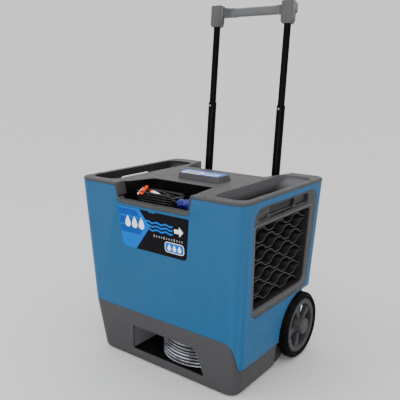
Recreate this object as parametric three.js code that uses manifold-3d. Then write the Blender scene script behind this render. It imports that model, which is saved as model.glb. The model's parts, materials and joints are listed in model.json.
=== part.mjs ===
// A commercial dehumidifier: a tapered moulded cabinet on two rear wheels, with a two-stage pull handle,
// a cord pocket in its top cover and a hose bin in its base. Millimetres, +Z up.
// X runs across the cabinet (the air inlet faces +X), Y runs from the front to the back.
import * as THREE from "three";
import { mergeVertices } from "three/addons/utils/BufferGeometryUtils.js";
import Module from "manifold-3d";

const wasm = await Module();
wasm.setup();

// ---- Driving dimensions ----

const GAP = 0.4; // between pieces that touch on the real machine
const FAR = 400; // reaches past every side of the cabinet

// Cabinet: half its rim's width and depth, and how the walls lean in on the way down.
const RIM_HALF_WIDTH = 361;
const RIM_HALF_DEPTH = 286;
const RIM_Z = 675;
const DECK_Z = 685;
const TAPER = 0.05;
const BASE_TAPER = 0.064; // the base leans in this much more, at its front and sides
const CORNER_RADIUS = 45;
const WALL = 5;
const FRONT_SEAM_Z = 207; // where the cabinet ends and the base begins
const SIDE_SEAM_Z = 107; // the same, on the inlet side
const REAR_RAMP_Y = 75; // the underside rises from here to the back
const REAR_RAMP_TOP_Z = 60;

// Wheels and axle.
const WHEEL_RADIUS = 127;
const WHEEL_Y = 161;
const WHEEL_FACE_X = 357;
const TYRE_WIDTH = 46;
const WELL_RADIUS = 140;
const WELL_INNER_X = 300;
const AXLE_RADIUS = 8;
const HUB_FACE_X = 367;

// Pull handle: two tubes that lean back, each sliding in the one below.
const HANDLE_X = 161.5;
const HANDLE_Y = 258;
const HANDLE_LEAN = 0.0812;
const GUIDE_RADIUS = 20;
const MIDDLE_RADIUS = 16.5;
const UPPER_RADIUS = 13.5;
const TUBE_WALL = 1.8;
const GUIDE_TOP = -90; // heights along the leaning tubes, from the rim
const MIDDLE_TOP = 266.5;
const MIDDLE_FOOT = -155;
const UPPER_FOOT = 191.5;
const FITTING_FOOT = 568.5;
const FITTING_TOP = 652.5;
const WELL_FLOOR_Z = 545;
const WELL_WALL = 5;

// Cord pocket in the top cover, and the hand recess on each side of it.
const POCKET_FLOOR_Z = 580;
const POCKET_LIP_Z = 628;
const POCKET_BACK_Y = -139;
const POCKET_FRONT_Y = -262;
const NOTCH = { x: -4, top: 173, foot: 159, z: 613, top_z: 695 };
const RECESS_FLOOR_Z = 606;
const RECESS_INNER_X = 217;
const RECESS_OUTER_X = 338;
const RECESS_FRONT_Y = -247;
const RECESS_BACK_Y = 225;
const RECESS_ROUND = 34;
const RECESS_WALL = 4;
const SLOT_LEFT = { y0: -90, y1: 86, z0: 618, z1: 656 };
const SLOT_RIGHT = { y0: -128, y1: 44, z0: 621, z1: 650 };

// Hose bin and the drain hose wound up in it.
const BIN = { x0: -147, x1: 232, y1: 70, z0: 40, z1: 165, wall: 3, left_round: 120, right_round: 90 };
const HOSE_RADIUS = 6.35;
const HOSE_COIL = { x: 70, y: -85, radius: 137, columns: 2, layers: 7 };

// Power cord, wound as a hank in the cord pocket.
const CORD_RADIUS = 4.5;
const HANK = { x: -30, y: -208, run: 100, width: 80, columns: 2, layers: 8 };

// Control pod on the top cover.
const POD = { x0: -85, x1: 117, y0: -71, y1: 6, z1: 704, wall: 2.5 };

// ---- Solids ----

// A three.js geometry as a solid.
function solid(geometry) {
  const bare = geometry.clone();
  bare.deleteAttribute("normal");
  bare.deleteAttribute("uv");
  const merged = mergeVertices(bare, 1e-4);
  return new wasm.Manifold(
    new wasm.Mesh({
      numProp: 3,
      vertProperties: new Float32Array(merged.attributes.position.array),
      triVerts: new Uint32Array(merged.index.array),
    }),
  );
}

// A solid as a three.js geometry.
function geometryOf(made) {
  const mesh = made.getMesh();
  const geometry = new THREE.BufferGeometry();
  geometry.setAttribute("position", new THREE.BufferAttribute(new Float32Array(mesh.vertProperties), 3));
  geometry.setIndex(new THREE.BufferAttribute(new Uint32Array(mesh.triVerts), 1));
  const faceted = geometry.toNonIndexed();
  faceted.computeVertexNormals();
  return faceted;
}

const join = (solids) => solids.reduce((all, one) => all.add(one));

// A box from its lowest and highest corners.
function box(x0, x1, y0, y1, z0, z1) {
  const geometry = new THREE.BoxGeometry(x1 - x0, y1 - y0, z1 - z0);
  return solid(geometry.translate((x0 + x1) / 2, (y0 + y1) / 2, (z0 + z1) / 2));
}

// An outline whose corners, each [u, v, radius], are rounded by arcs.
function rounded(corners, steps = 4) {
  const points = [];
  corners.forEach(([u, v, radius = 0], i) => {
    const corner = new THREE.Vector2(u, v);
    if (radius === 0) {
      points.push(corner);
      return;
    }
    const before = new THREE.Vector2(...corners.at(i - 1)).sub(corner).normalize();
    const after = new THREE.Vector2(...corners[(i + 1) % corners.length]).sub(corner).normalize();
    const half = before.angleTo(after) / 2;
    const centre = before.clone().add(after).setLength(radius / Math.sin(half)).add(corner);
    const start = before.clone().multiplyScalar(radius / Math.tan(half)).add(corner).sub(centre);
    const turn = before.cross(after) > 0 ? 1 : -1;
    for (let k = 0; k <= steps; k++) {
      const bend = (turn * -1 * k * (Math.PI - 2 * half)) / steps;
      points.push(start.clone().rotateAround(new THREE.Vector2(), bend).add(centre));
    }
  });
  return points;
}

const rectangle = (u0, u1, v0, v1, radius, steps = 4) =>
  rounded([[u0, v0, radius], [u1, v0, radius], [u1, v1, radius], [u0, v1, radius]], steps);

// An outline pushed along an axis: (y, z) along X, (x, z) along Y, or (x, y) along Z.
function prism(outline, axis, from, to) {
  const shape = new THREE.Shape(outline);
  const geometry = new THREE.ExtrudeGeometry(shape, { depth: to - from, bevelEnabled: false });
  const x = new THREE.Vector3(1, 0, 0);
  const y = new THREE.Vector3(0, 1, 0);
  const z = new THREE.Vector3(0, 0, 1);
  const turned = new THREE.Matrix4();
  if (axis === "x") turned.makeBasis(y, z, x).setPosition(from, 0, 0);
  if (axis === "y") turned.makeBasis(x, z, y.negate()).setPosition(0, to, 0);
  if (axis === "z") turned.setPosition(0, 0, from);
  return solid(geometry.applyMatrix4(turned));
}

// A round bar along an axis, through (u, v) of the plane across it.
function bar(axis, u, v, from, to, radius, sides = 20) {
  const ring = [];
  for (let k = 0; k < sides; k++) {
    const angle = (2 * Math.PI * k) / sides;
    ring.push(new THREE.Vector2(u + radius * Math.cos(angle), v + radius * Math.sin(angle)));
  }
  return prism(ring, axis, from, to);
}

// A profile of [radius, height] points turned about +Z, or about +X when lying.
function turnedProfile(profile, sides = 32, lying = false) {
  const points = profile.map(([r, h]) => new THREE.Vector2(r, h));
  const geometry = new THREE.LatheGeometry(points, sides);
  geometry.rotateX(Math.PI / 2);
  if (lying) geometry.rotateY(Math.PI / 2);
  const made = solid(geometry);
  return made.volume() < 0 ? solid(flipped(geometry)) : made;
}

function flipped(geometry) {
  const index = geometry.index.array;
  for (let i = 0; i < index.length; i += 3) {
    [index[i + 1], index[i + 2]] = [index[i + 2], index[i + 1]];
  }
  return geometry;
}

// A ring of square section, for hoops and coils, about +Z.
const hoop = (inner, outer, z0, z1, sides = 32) =>
  turnedProfile([[inner, z0], [outer, z0], [outer, z1], [inner, z1], [inner, z0]], sides);

// A round tube or cord that follows a smooth curve through points.
function alongCurve(points, radius, steps, sides = 10) {
  const ring = [];
  for (let k = 0; k < sides; k++) {
    const angle = (2 * Math.PI * k) / sides;
    ring.push(new THREE.Vector2(radius * Math.cos(angle), radius * Math.sin(angle)));
  }
  const path = new THREE.CatmullRomCurve3(points.map((p) => new THREE.Vector3(...p)), false, "centripetal");
  const geometry = new THREE.ExtrudeGeometry(new THREE.Shape(ring), { steps, extrudePath: path });
  return solid(geometry);
}

// Joins matching rings of points, lowest first, into one closed solid.
function loft(rings) {
  const count = rings[0].length;
  const positions = rings.flatMap((ring) => ring.flatMap((p) => [p.x, p.y, p.z]));
  const index = [];
  for (let r = 0; r + 1 < rings.length; r++) {
    for (let k = 0; k < count; k++) {
      const a = r * count + k;
      const b = r * count + ((k + 1) % count);
      index.push(a, b, b + count, a, b + count, a + count);
    }
  }
  const flat = rings[0].map((p) => new THREE.Vector2(p.x, p.y));
  const top = (rings.length - 1) * count;
  for (const [a, b, c] of THREE.ShapeUtils.triangulateShape(flat, [])) {
    index.push(a, c, b, a + top, b + top, c + top);
  }
  const geometry = new THREE.BufferGeometry();
  geometry.setAttribute("position", new THREE.Float32BufferAttribute(positions, 3));
  geometry.setIndex(index);
  return solid(geometry);
}

// ---- The cabinet's tapered envelope ----

const leanIn = (z) => (RIM_Z - z) * TAPER;

// The cabinet's outline at a height, drawn in from its skin by an inset; inBase adds the base's taper.
function bodyRing(z, inset, inBase) {
  const extra = inBase ? (FRONT_SEAM_Z - z) * BASE_TAPER : 0;
  const x = RIM_HALF_WIDTH - leanIn(z) - extra - inset;
  const front = -RIM_HALF_DEPTH + leanIn(z) + extra + inset;
  const back = RIM_HALF_DEPTH - leanIn(z) - inset;
  const outline = rectangle(-x, x, front, back, Math.max(CORNER_RADIUS - inset, 4), 5);
  return outline.map((p) => new THREE.Vector3(p.x, p.y, z));
}

const bodySolid = (inset, z0, z1) => loft([bodyRing(z0, inset, false), bodyRing(z1, inset, false)]);
const baseSolid = (inset, z0, z1) => loft([bodyRing(z0, inset, true), bodyRing(z1, inset, true)]);

// A slab that lies between two depths under the cabinet's skin.
const skinSlab = (outer, inner) => bodySolid(outer, 150, RIM_Z).subtract(bodySolid(inner, 149, RIM_Z + 1));

// Everything below the seam between the cabinet and the base. The seam falls in an S at the inlet side.
function belowSeam(drop) {
  const seam = new THREE.Shape();
  seam.moveTo(-FAR, -1);
  seam.lineTo(FAR, -1);
  seam.lineTo(FAR, SIDE_SEAM_Z - drop);
  seam.lineTo(330, SIDE_SEAM_Z - drop);
  seam.bezierCurveTo(318, SIDE_SEAM_Z - drop, 328, FRONT_SEAM_Z - drop, 287, FRONT_SEAM_Z - drop);
  seam.lineTo(-FAR, FRONT_SEAM_Z - drop);
  return prism(seam.getPoints(8), "y", -FAR, FAR);
}

// The space that a wheel turns in: round in front, open behind and below. Grown makes it bigger all round.
function wheelWells(grown) {
  const radius = WELL_RADIUS + grown;
  const arch = new THREE.Shape();
  arch.moveTo(FAR, -1);
  arch.lineTo(FAR, WHEEL_RADIUS + radius);
  arch.lineTo(WHEEL_Y, WHEEL_RADIUS + radius);
  arch.absarc(WHEEL_Y, WHEEL_RADIUS, radius, Math.PI / 2, Math.PI, false);
  arch.lineTo(WHEEL_Y - radius, -1);
  const outline = arch.getPoints(8);
  const right = prism(outline, "x", WELL_INNER_X - grown, FAR);
  return right.add(prism(outline, "x", -FAR, -WELL_INNER_X + grown));
}

// ---- Openings that more than one piece shares ----

// The notch in the cabinet's front that the cord pocket's lip fills.
function pocketNotch(smaller) {
  const top = NOTCH.top - smaller;
  const foot = NOTCH.foot - smaller;
  const z = NOTCH.z + smaller;
  const outline = rounded([
    [NOTCH.x - foot, z, 20], [NOTCH.x + foot, z, 20],
    [NOTCH.x + top, NOTCH.top_z], [NOTCH.x - top, NOTCH.top_z],
  ]);
  return prism(outline, "y", -FAR, -200);
}

// The well behind the top cover that takes the folded handle, and the notch it makes in the back.
function handleWell(smaller, floor) {
  const outline = rounded([
    [-183 + smaller, 137 + smaller, 14], [183 - smaller, 137 + smaller, 14],
    [223 - smaller, 289], [223 - smaller, FAR], [-223 + smaller, FAR], [-223 + smaller, 289],
  ]);
  return prism(outline, "z", floor, RIM_Z + 20);
}

// The outline of the bezel that fills each side opening, as (y, z).
function bezelOutline(smaller) {
  return rounded([
    [-192 + smaller, 271 + smaller, 42], [200 - smaller, 271 + smaller, 42],
    [222 - smaller, 655 - smaller, 42], [-218 + smaller, 655 - smaller, 42],
  ], 6);
}

// The outline of the inlet grille, which sits forward of the bezel's middle.
function grilleOutline(smaller) {
  return rounded([
    [-189 + smaller, 306 + smaller, 14], [165 - smaller, 306 + smaller, 30],
    [170 - smaller, 596 - smaller, 14], [-210 + smaller, 596 - smaller, 10],
  ], 5);
}

// The hand hole through a side of the cabinet, between two depths along X.
const handHole = ({ y0, y1, z0, z1 }, x0, x1) => prism(rectangle(y0, y1, z0, z1, 10), "x", x0, x1);

// ---- Groups, materials and meshes ----

const machine = new THREE.Group();
const handleFrame = new THREE.Group();
handleFrame.position.set(0, HANDLE_Y, RIM_Z);
handleFrame.rotation.x = -HANDLE_LEAN;
machine.add(handleFrame);
handleFrame.updateMatrix();

function finish(color, roughness, metalness = 0) {
  return new THREE.MeshStandardMaterial({ color, roughness, metalness });
}

const FINISHES = {
  blueShell: () => finish(0x2f6ea6, 0.45),
  greyPlastic: () => finish(0x5a595c, 0.6),
  gripPlastic: () => finish(0x77787b, 0.5),
  blackPlastic: () => finish(0x161617, 0.5),
  tube: () => finish(0x0a0a0c, 0.35, 0.4),
  rubber: () => finish(0x101012, 0.85),
  steel: () => finish(0x9a9ca0, 0.35, 0.9),
  copper: () => finish(0xb87346, 0.35, 0.9),
  aluminium: () => finish(0xb9bcc0, 0.4, 0.9),
  filter: () => finish(0xd9dce0, 0.95),
  board: () => finish(0x1d5c34, 0.6),
  lens: () => finish(0x1b2430, 0.1),
  key: () => finish(0xe8ecf0, 0.5),
  clearHose: () => finish(0xb8bec6, 0.2),
  cord: () => finish(0x0c0c0d, 0.5),
  plug: () => finish(0x2a2c9a, 0.25),
};

function add(name, made, look, group = machine) {
  const mesh = new THREE.Mesh(geometryOf(made), FINISHES[look]());
  mesh.name = name;
  group.add(mesh);
  return mesh;
}

const SIDES = [["left", -1], ["right", 1]];

// ---- Cabinet shell ----

function housingShell() {
  const skin = bodySolid(0, SIDE_SEAM_Z - 10, RIM_Z);
  const hollow = bodySolid(WALL, SIDE_SEAM_Z - 20, RIM_Z + 10).subtract(wheelWells(WALL));
  const openings = [
    belowSeam(0),
    wheelWells(0),
    pocketNotch(0),
    handleWell(-WELL_WALL, WELL_FLOOR_Z - 8),
    prism(bezelOutline(0), "x", 300, FAR),
    prism(bezelOutline(0), "x", -FAR, -300),
  ];
  return skin.subtract(hollow).subtract(join(openings));
}

// ---- Base ----

// The base's underside: flat in front, then a ramp up to the back so that the machine can be tipped.
function aboveRamp(raised) {
  const outline = [
    [-FAR, raised], [REAR_RAMP_Y, raised], [RIM_HALF_DEPTH, REAR_RAMP_TOP_Z + raised],
    [FAR, REAR_RAMP_TOP_Z + raised], [FAR, FAR], [-FAR, FAR],
  ];
  return prism(outline.map(([y, z]) => new THREE.Vector2(y, z)), "x", -FAR, FAR);
}

// The window in the base's front that shows the drain hose, as (x, z).
const cubbyOutline = () => rounded([[-141, 43, 6], [189, 43, 4], [160, 143, 34], [-130, 143, 8]], 5);

function baseTray() {
  const foot = bodyRing(0, 8, true);
  const skin = loft([foot, bodyRing(10, 0, true), bodyRing(FRONT_SEAM_Z + 5, 0, true)]);
  const hollow = baseSolid(WALL, 6, FRONT_SEAM_Z + 20)
    .intersect(aboveRamp(6))
    .subtract(wheelWells(WALL));
  const outside = skin.intersect(belowSeam(GAP)).intersect(aboveRamp(0));
  const tray = outside.subtract(hollow).subtract(wheelWells(0));
  const pillars = SIDES.map(([, side]) => {
    const x = side * HANDLE_X;
    return box(x - 24, x + 24, 160, 238, 30, BIN.z1 + BIN.wall).intersect(aboveRamp(3));
  });
  const axleHole = bar("x", WHEEL_Y, WHEEL_RADIUS, -FAR, FAR, AXLE_RADIUS + 1);
  const window = prism(cubbyOutline(), "y", -FAR, -200);
  return join([tray, ...pillars]).subtract(axleHole).subtract(window);
}

function hoseBin() {
  const outline = (grown) => rounded([
    [BIN.x0 - grown, -FAR], [BIN.x1 + grown, -FAR],
    [BIN.x1 + grown, BIN.y1 + grown, BIN.right_round + grown],
    [BIN.x0 - grown, BIN.y1 + grown, BIN.left_round + grown],
  ], 8);
  const inner = outline(0);
  const outer = outline(BIN.wall);
  const block = prism(outer, "z", BIN.z0 - BIN.wall, BIN.z1 + BIN.wall);
  const space = prism(inner, "z", BIN.z0, BIN.z1);
  return block.subtract(space).intersect(baseSolid(WALL + GAP, 6, FRONT_SEAM_Z + 5));
}

function axleBracket(side) {
  const plate = prism(rounded([[136, 54], [186, 54], [186, 152, 20], [136, 152, 20]]), "x", 282, 290);
  const foot = box(262, 290, 128, 194, 54, 60).intersect(aboveRamp(7));
  const bore = bar("x", WHEEL_Y, WHEEL_RADIUS, 200, 300, AXLE_RADIUS + 0.3);
  const made = plate.intersect(aboveRamp(7)).add(foot).subtract(bore);
  return side > 0 ? made : made.mirror([1, 0, 0]);
}

// ---- Top cover ----

function recessOutline(grown) {
  return rectangle(
    RECESS_INNER_X - grown, RECESS_OUTER_X + grown,
    RECESS_FRONT_Y - grown, RECESS_BACK_Y + grown, RECESS_ROUND + grown,
  );
}

function recessSpace() {
  const space = prism(recessOutline(0), "z", RECESS_FLOOR_Z, DECK_Z + 10);
  const foot = RECESS_FLOOR_Z - 1;
  const ramp = [[110, foot], [RECESS_BACK_Y + 1, foot], [RECESS_BACK_Y + 1, RIM_Z]];
  return space.subtract(prism(ramp.map(([y, z]) => new THREE.Vector2(y, z)), "x", 200, 350));
}

function topCover() {
  const rimRing = (z, inset) => bodyRing(RIM_Z, inset, false).map((p) => new THREE.Vector3(p.x, p.y, z));
  const rim = loft([rimRing(RIM_Z + GAP, -1), rimRing(DECK_Z - 3, -1), rimRing(DECK_Z, 2)]);
  const underside = loft([rimRing(RIM_Z - 1, 12), rimRing(DECK_Z - WALL, 12)]);
  const plate = rim.subtract(underside);

  const insideShell = bodySolid(WALL + GAP, 400, DECK_Z);
  const pocketWalls = prism(
    rounded([
      [-170, -FAR], [167, -FAR], [167, POCKET_FRONT_Y + 2], [151, POCKET_BACK_Y + 5, 10],
      [-124, POCKET_BACK_Y + 5, 27], [-170, POCKET_FRONT_Y + 2],
    ]),
    "z", POCKET_FLOOR_Z - 4, DECK_Z - 2,
  ).intersect(insideShell);
  const lip = pocketNotch(GAP)
    .intersect(bodySolid(0, 500, RIM_Z + 5))
    .intersect(box(-200, 200, -FAR, -240, 500, 680));
  const recessOutside = recessOutline(RECESS_WALL);
  const recessWalls = prism(recessOutside, "z", RECESS_FLOOR_Z - RECESS_WALL, DECK_Z - 2);
  const wellWalls = handleWell(-WELL_WALL, WELL_FLOOR_Z - WELL_WALL).intersect(insideShell);
  const wellEdge = handleWell(GAP - WELL_WALL, WELL_FLOOR_Z - WELL_WALL)
    .intersect(bodySolid(0, 500, RIM_Z))
    .intersect(box(-240, 240, 240, FAR, 500, RIM_Z));
  const walls = [pocketWalls, lip, recessWalls, recessWalls.mirror([1, 0, 0]), wellWalls, wellEdge];

  const pocketSpace = prism(
    rounded([
      [-164, POCKET_FRONT_Y, 10], [161, POCKET_FRONT_Y, 10],
      [145, POCKET_BACK_Y, 5], [-118, POCKET_BACK_Y, 22],
    ]),
    "z", POCKET_FLOOR_Z, DECK_Z + 10,
  );
  const sill = NOTCH.foot - 4;
  const jambs = NOTCH.top - 5;
  const windowOutline = rounded([
    [NOTCH.x - sill, POCKET_LIP_Z, 14], [NOTCH.x + sill, POCKET_LIP_Z, 14],
    [NOTCH.x + jambs, NOTCH.top_z], [NOTCH.x - jambs, NOTCH.top_z],
  ]);
  const spaces = [
    pocketSpace,
    prism(windowOutline, "y", -FAR, POCKET_FRONT_Y + 20),
    recessSpace(),
    recessSpace().mirror([1, 0, 0]),
    handleWell(0, WELL_FLOOR_Z),
    handHole(SLOT_RIGHT, RECESS_OUTER_X - 2, FAR),
    handHole(SLOT_LEFT, -FAR, -RECESS_OUTER_X + 2),
    ...SIDES.map(([, side]) => {
      const hole = bar("z", side * HANDLE_X, 0, -300, 0, GUIDE_RADIUS + GAP);
      return solid(geometryOf(hole).applyMatrix4(handleFrame.matrix));
    }),
  ];
  return join([plate, ...walls]).subtract(join(spaces));
}

// ---- Control pod ----

const KEYS = ["power", "mode", "up", "down"];
const keyX = (i) => 32 + 20 * i;
const KEY_Y = -42;
const DISPLAY = { x0: -48, x1: 16, y0: -56, y1: -28 };

function displayOutline(smaller) {
  const { x0, x1, y0, y1 } = DISPLAY;
  return rectangle(x0 + smaller, x1 - smaller, y0 + smaller, y1 - smaller, 3);
}

function podOutline(inset) {
  return rounded([
    [POD.x0 + 26, POD.y0 + inset, 8], [POD.x1 - inset, POD.y0 + inset, 6],
    [POD.x1 - inset, POD.y1 - inset, 10], [POD.x0 + inset, POD.y1 - inset, 14],
    [POD.x0 + inset, POD.y0 + 40, 14],
  ]);
}

function controlPod() {
  const flare = 4; // how much wider the pod's foot is than its top, all round
  const ring = (inset, z) => podOutline(inset).map((p) => new THREE.Vector3(p.x, p.y, z));
  const block = loft([ring(-flare, DECK_Z + GAP), ring(0, POD.z1 - 2.5), ring(1.5, POD.z1)]);
  const hollow = prism(podOutline(POD.wall), "z", DECK_Z, POD.z1 - POD.wall);
  const keyHoles = KEYS.map((_, i) => bar("z", keyX(i), KEY_Y, DECK_Z, DECK_Z + 40, 7.4, 12));
  const display = prism(displayOutline(0), "z", DECK_Z, DECK_Z + 40);
  return block.subtract(hollow).subtract(join([...keyHoles, display]));
}

const displayLens = () => prism(displayOutline(GAP), "z", POD.z1 - 2.4, POD.z1 + 0.4);

// A key: a round cap that stands 1.2 mm proud, on a wider skirt that keeps it in.
function podKey(i) {
  const cap = [[0, 698.6], [8.6, 698.6], [8.6, 701.1], [6.8, 701.1], [6.8, 704.6], [6, 705.2], [0, 705.2]];
  return turnedProfile(cap, 12).translate([keyX(i), KEY_Y, 0]);
}

const controlBoard = () => box(-62, 108, -62, -4, DECK_Z + GAP, DECK_Z + 2);

// ---- Air inlet and outlet ----

const BEZEL_THICK = 8;
const COLLAR_DEPTH = 40; // how far the bezel's collar reaches in around the grille

// A shallow sunk shape in a bezel's face, as (y, z) limits, for the side of the cabinet that x0 to x1 covers.
function sunk([y0, y1, z0, z1, radius], depth, x0, x1) {
  const underSkin = bodySolid(-5, 500, 700).subtract(bodySolid(depth, 499, 701));
  return prism(rectangle(y0, y1, z0, z1, radius), "x", x0, x1).intersect(underSkin);
}

function inletBezel() {
  const outline = prism(bezelOutline(GAP), "x", 280, FAR);
  const thin = outline.intersect(skinSlab(0, BEZEL_THICK));
  const collarOutside = prism(grilleOutline(-5), "x", 280, FAR).intersect(outline);
  const collar = collarOutside.intersect(skinSlab(0, COLLAR_DEPTH));
  const pocketBack = prism(rectangle(43, 146, 613, 651, 14), "x", 280, FAR).intersect(skinSlab(0, 13));
  const hollows = [
    sunk([-196, 146, 610, 650, 14], 3, 300, FAR),
    sunk([-191, -137, 617, 630, 5], 6, 300, FAR),
    sunk([-117, 38, 611, 618, 3], 6, 300, FAR),
    sunk([47, 141, 618, 647, 12], 10, 300, FAR),
    prism(grilleOutline(-GAP), "x", 280, FAR),
    handHole(SLOT_RIGHT, 300, FAR),
  ];
  return join([thin, collar, pocketBack]).subtract(join(hollows));
}

// The inlet grille's slats: wavy shelves, each a half wave out of step with the next.
const SLATS = {
  count: 9, top_z: 574, pitch: 30, thick: 3.2,
  wave: 120, height: 10, middle_y: -30, samples: 14, square: 1.7,
  front: 12, back: 38, // depths under the cabinet's skin
};

// One wavy slat as (y, z). A squared-off sine makes its crests and troughs flat.
function waveOutline(z, flip) {
  const upper = [];
  for (let k = -2 * SLATS.samples; k <= 2 * SLATS.samples; k++) {
    const turn = (2 * Math.PI * k) / SLATS.samples;
    const rise = Math.tanh(SLATS.square * Math.cos(turn)) / Math.tanh(SLATS.square);
    const y = SLATS.middle_y + (SLATS.wave * k) / SLATS.samples;
    upper.push(new THREE.Vector2(y, z + flip * SLATS.height * rise));
  }
  const lower = upper.map((p) => new THREE.Vector2(p.x, p.y - SLATS.thick)).reverse();
  return [...upper, ...lower];
}

function inletGrille() {
  const frameWidth = 4;
  const opening = prism(grilleOutline(frameWidth), "x", 279, FAR + 1);
  const frame = prism(grilleOutline(GAP), "x", 280, FAR).subtract(opening);
  const slats = [];
  for (let i = 0; i < SLATS.count; i++) {
    slats.push(prism(waveOutline(SLATS.top_z - SLATS.pitch * i, i % 2 ? -1 : 1), "x", 280, FAR));
  }
  const inside = prism(grilleOutline(frameWidth / 2), "x", 279, FAR + 1);
  const lattice = join(slats).intersect(inside).intersect(skinSlab(SLATS.front, SLATS.back));
  return frame.intersect(skinSlab(0.5, SLATS.back)).add(lattice);
}

const FILTER_THICK = 16;

function airFilter() {
  const front = SLATS.back + GAP;
  return prism(grilleOutline(6), "x", 250, FAR).intersect(skinSlab(front, front + FILTER_THICK));
}

const FAN = { y: -20, z: 435, radius: 130 };

function outletBezel() {
  const outline = prism(bezelOutline(GAP), "x", -FAR, -300);
  const thin = outline.intersect(skinSlab(0, BEZEL_THICK));
  const collar = bar("x", FAN.y, FAN.z, -FAR, -300, FAN.radius + 19, 28).intersect(skinSlab(0, 34));
  const mouth = bar("x", FAN.y, FAN.z, -FAR, -300, FAN.radius + 10, 28);
  const scoop = sunk([-196, 146, 608, 650, 14], 3, -FAR, -300);
  return thin.add(collar).subtract(scoop).subtract(mouth).subtract(handHole(SLOT_LEFT, -FAR, -300));
}

// The finger guard across the outlet: flat hoops on a cross.
function outletGuard() {
  const hoops = [[133, 138], [88, 92], [44, 48]].map(([inner, outer]) =>
    turnedProfile([[inner, 0], [outer, 0], [outer, 4], [inner, 4], [inner, 0]], 24, true),
  );
  const spokes = [box(0, 3, -136, 136, -2.5, 2.5), box(0, 3, -2.5, 2.5, -136, 136)];
  return join([...hoops, ...spokes]).translate([-334, FAN.y, FAN.z]);
}

// ---- Pull handle ----

function tube(x, outer, z0, z1) {
  const bore = bar("z", x, 0, z0 - 1, z1 + 1, outer - TUBE_WALL);
  return bar("z", x, 0, z0, z1, outer).subtract(bore);
}

const BUTTONS = [
  { name: "lower_lock_button", skin: GUIDE_RADIUS, z: GUIDE_TOP - 16, inner: 18.4 },
  { name: "upper_lock_button", skin: MIDDLE_RADIUS, z: MIDDLE_TOP - 14, inner: 15.2 },
];

// Cuts the hole that a lock button works in.
const buttonHole = (x, z) => bar("y", x, z, -30, 0, 4.3, 16);

// Everything near a tube that lies below a level height, in the leaning tubes' own frame.
function belowLevel(x, y, z) {
  const size = 120;
  const block = new THREE.BoxGeometry(size, size, size).translate(x, y, z - size / 2);
  return solid(block.applyMatrix4(handleFrame.matrix.clone().invert()));
}

function guideTube(x) {
  const made = tube(x, GUIDE_RADIUS, -520, GUIDE_TOP).subtract(buttonHole(x, BUTTONS[0].z));
  return made.subtract(belowLevel(x, 215, BIN.z1 + BIN.wall + 0.5));
}

function guideCollar(x) {
  const ring = bar("z", x, 0, -140, -118, 27).subtract(bar("z", x, 0, -141, -100, GUIDE_RADIUS + GAP));
  return ring.subtract(belowLevel(x, HANDLE_Y, WELL_FLOOR_Z + GAP));
}

const lockButton = (x, { skin, z, inner }) => bar("y", x, z, -skin - 1.8, -inner, 4, 16);

// A corner of the grip: a socket for the tube, and an arm that turns back and inwards to the crossbar.
function gripFitting(side) {
  const outline = rounded([[-24, -17.5, 5], [24, -17.5, 5], [24, 17.5, 5], [-24, 17.5, 5]], 3);
  const foot = outline.map((p) => new THREE.Vector3(p.x * 0.74, p.y * 0.95, FITTING_FOOT));
  const shoulder = outline.map((p) => new THREE.Vector3(p.x, p.y, FITTING_FOOT + 10));
  const head = outline.map((p) => new THREE.Vector3(p.x, p.y, FITTING_TOP - 3));
  const crown = outline.map((p) => new THREE.Vector3(p.x * 0.92, p.y * 0.92, FITTING_TOP));
  const arm = rounded([[-24, 0], [24, 0], [24, 28, 6], [2, 50, 10], [-66, 50], [-66, 22], [-44, 22, 12]], 3);
  const made = loft([foot, shoulder, head, crown]).add(prism(arm, "z", FITTING_TOP - 41, FITTING_TOP - 7));
  const placed = side > 0 ? made : made.mirror([1, 0, 0]);
  const socket = bar("z", side * HANDLE_X, 0, FITTING_FOOT - 1, FITTING_TOP - 12, UPPER_RADIUS + GAP);
  return placed.translate([side * HANDLE_X, 0, 0]).subtract(socket);
}

function crossbar() {
  const section = rectangle(22.5, 49.5, FITTING_TOP - 40.5, FITTING_TOP - 7.5, 8);
  const length = HANDLE_X - 66 - GAP;
  return prism(section, "x", -length, length);
}

// ---- Wheels, built about the origin with the outer face towards +X ----

function tyre() {
  const r = WHEEL_RADIUS;
  const profile = [
    [104.4, -TYRE_WIDTH + 6], [r - 12, -TYRE_WIDTH], [r, -TYRE_WIDTH + 12],
    [r, -12], [r - 12, 0], [104.4, -6], [104.4, -TYRE_WIDTH + 6],
  ];
  return turnedProfile(profile, 28, true);
}

function wheelRim() {
  const rim = [[83, -38], [104, -38], [104, -7], [98, -4], [85, -6], [83, -12], [83, -38]];
  const ring = turnedProfile(rim, 28, true);
  const hub = [[0, -42], [28, -42], [36, -24], [31, -6], [31, -2], [0, -2], [0, -42]];
  const barrel = turnedProfile(hub, 20, true);
  const flared = [[-11, 20], [11, 20], [10, 55], [18, 90], [-18, 90], [-10, 55]];
  const spoke = flared.map(([y, z]) => new THREE.Vector2(y, z));
  const spokes = [0, 1, 2, 3, 4].map((k) => prism(spoke, "x", -28, -11).rotate([72 * k + 20, 0, 0]));
  const bore = bar("x", 0, 0, -60, 20, AXLE_RADIUS + 0.6);
  const nutPocket = bar("x", 0, 0, -10, 20, 22);
  return join([ring, barrel, ...spokes]).subtract(bore).subtract(nutPocket);
}

function hubCap() {
  const foot = -2 + GAP;
  const profile = [[0, 7], [18, 7], [18, foot], [31, foot], [31, 6], [27, 10], [0, 10], [0, 7]];
  return turnedProfile(profile, 20, true);
}

// ---- Inside the cabinet ----

const PLATE_Z = BIN.z1 + BIN.wall + GAP + 4; // top of the plate that the machinery stands on

function equipmentPlate() {
  const plate = box(-288, 288, -222, 186, PLATE_Z - 4, PLATE_Z);
  const flange = box(-288, 288, -222, -218, PLATE_Z - 4, PLATE_Z + 14);
  return plate.add(flange);
}

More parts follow.
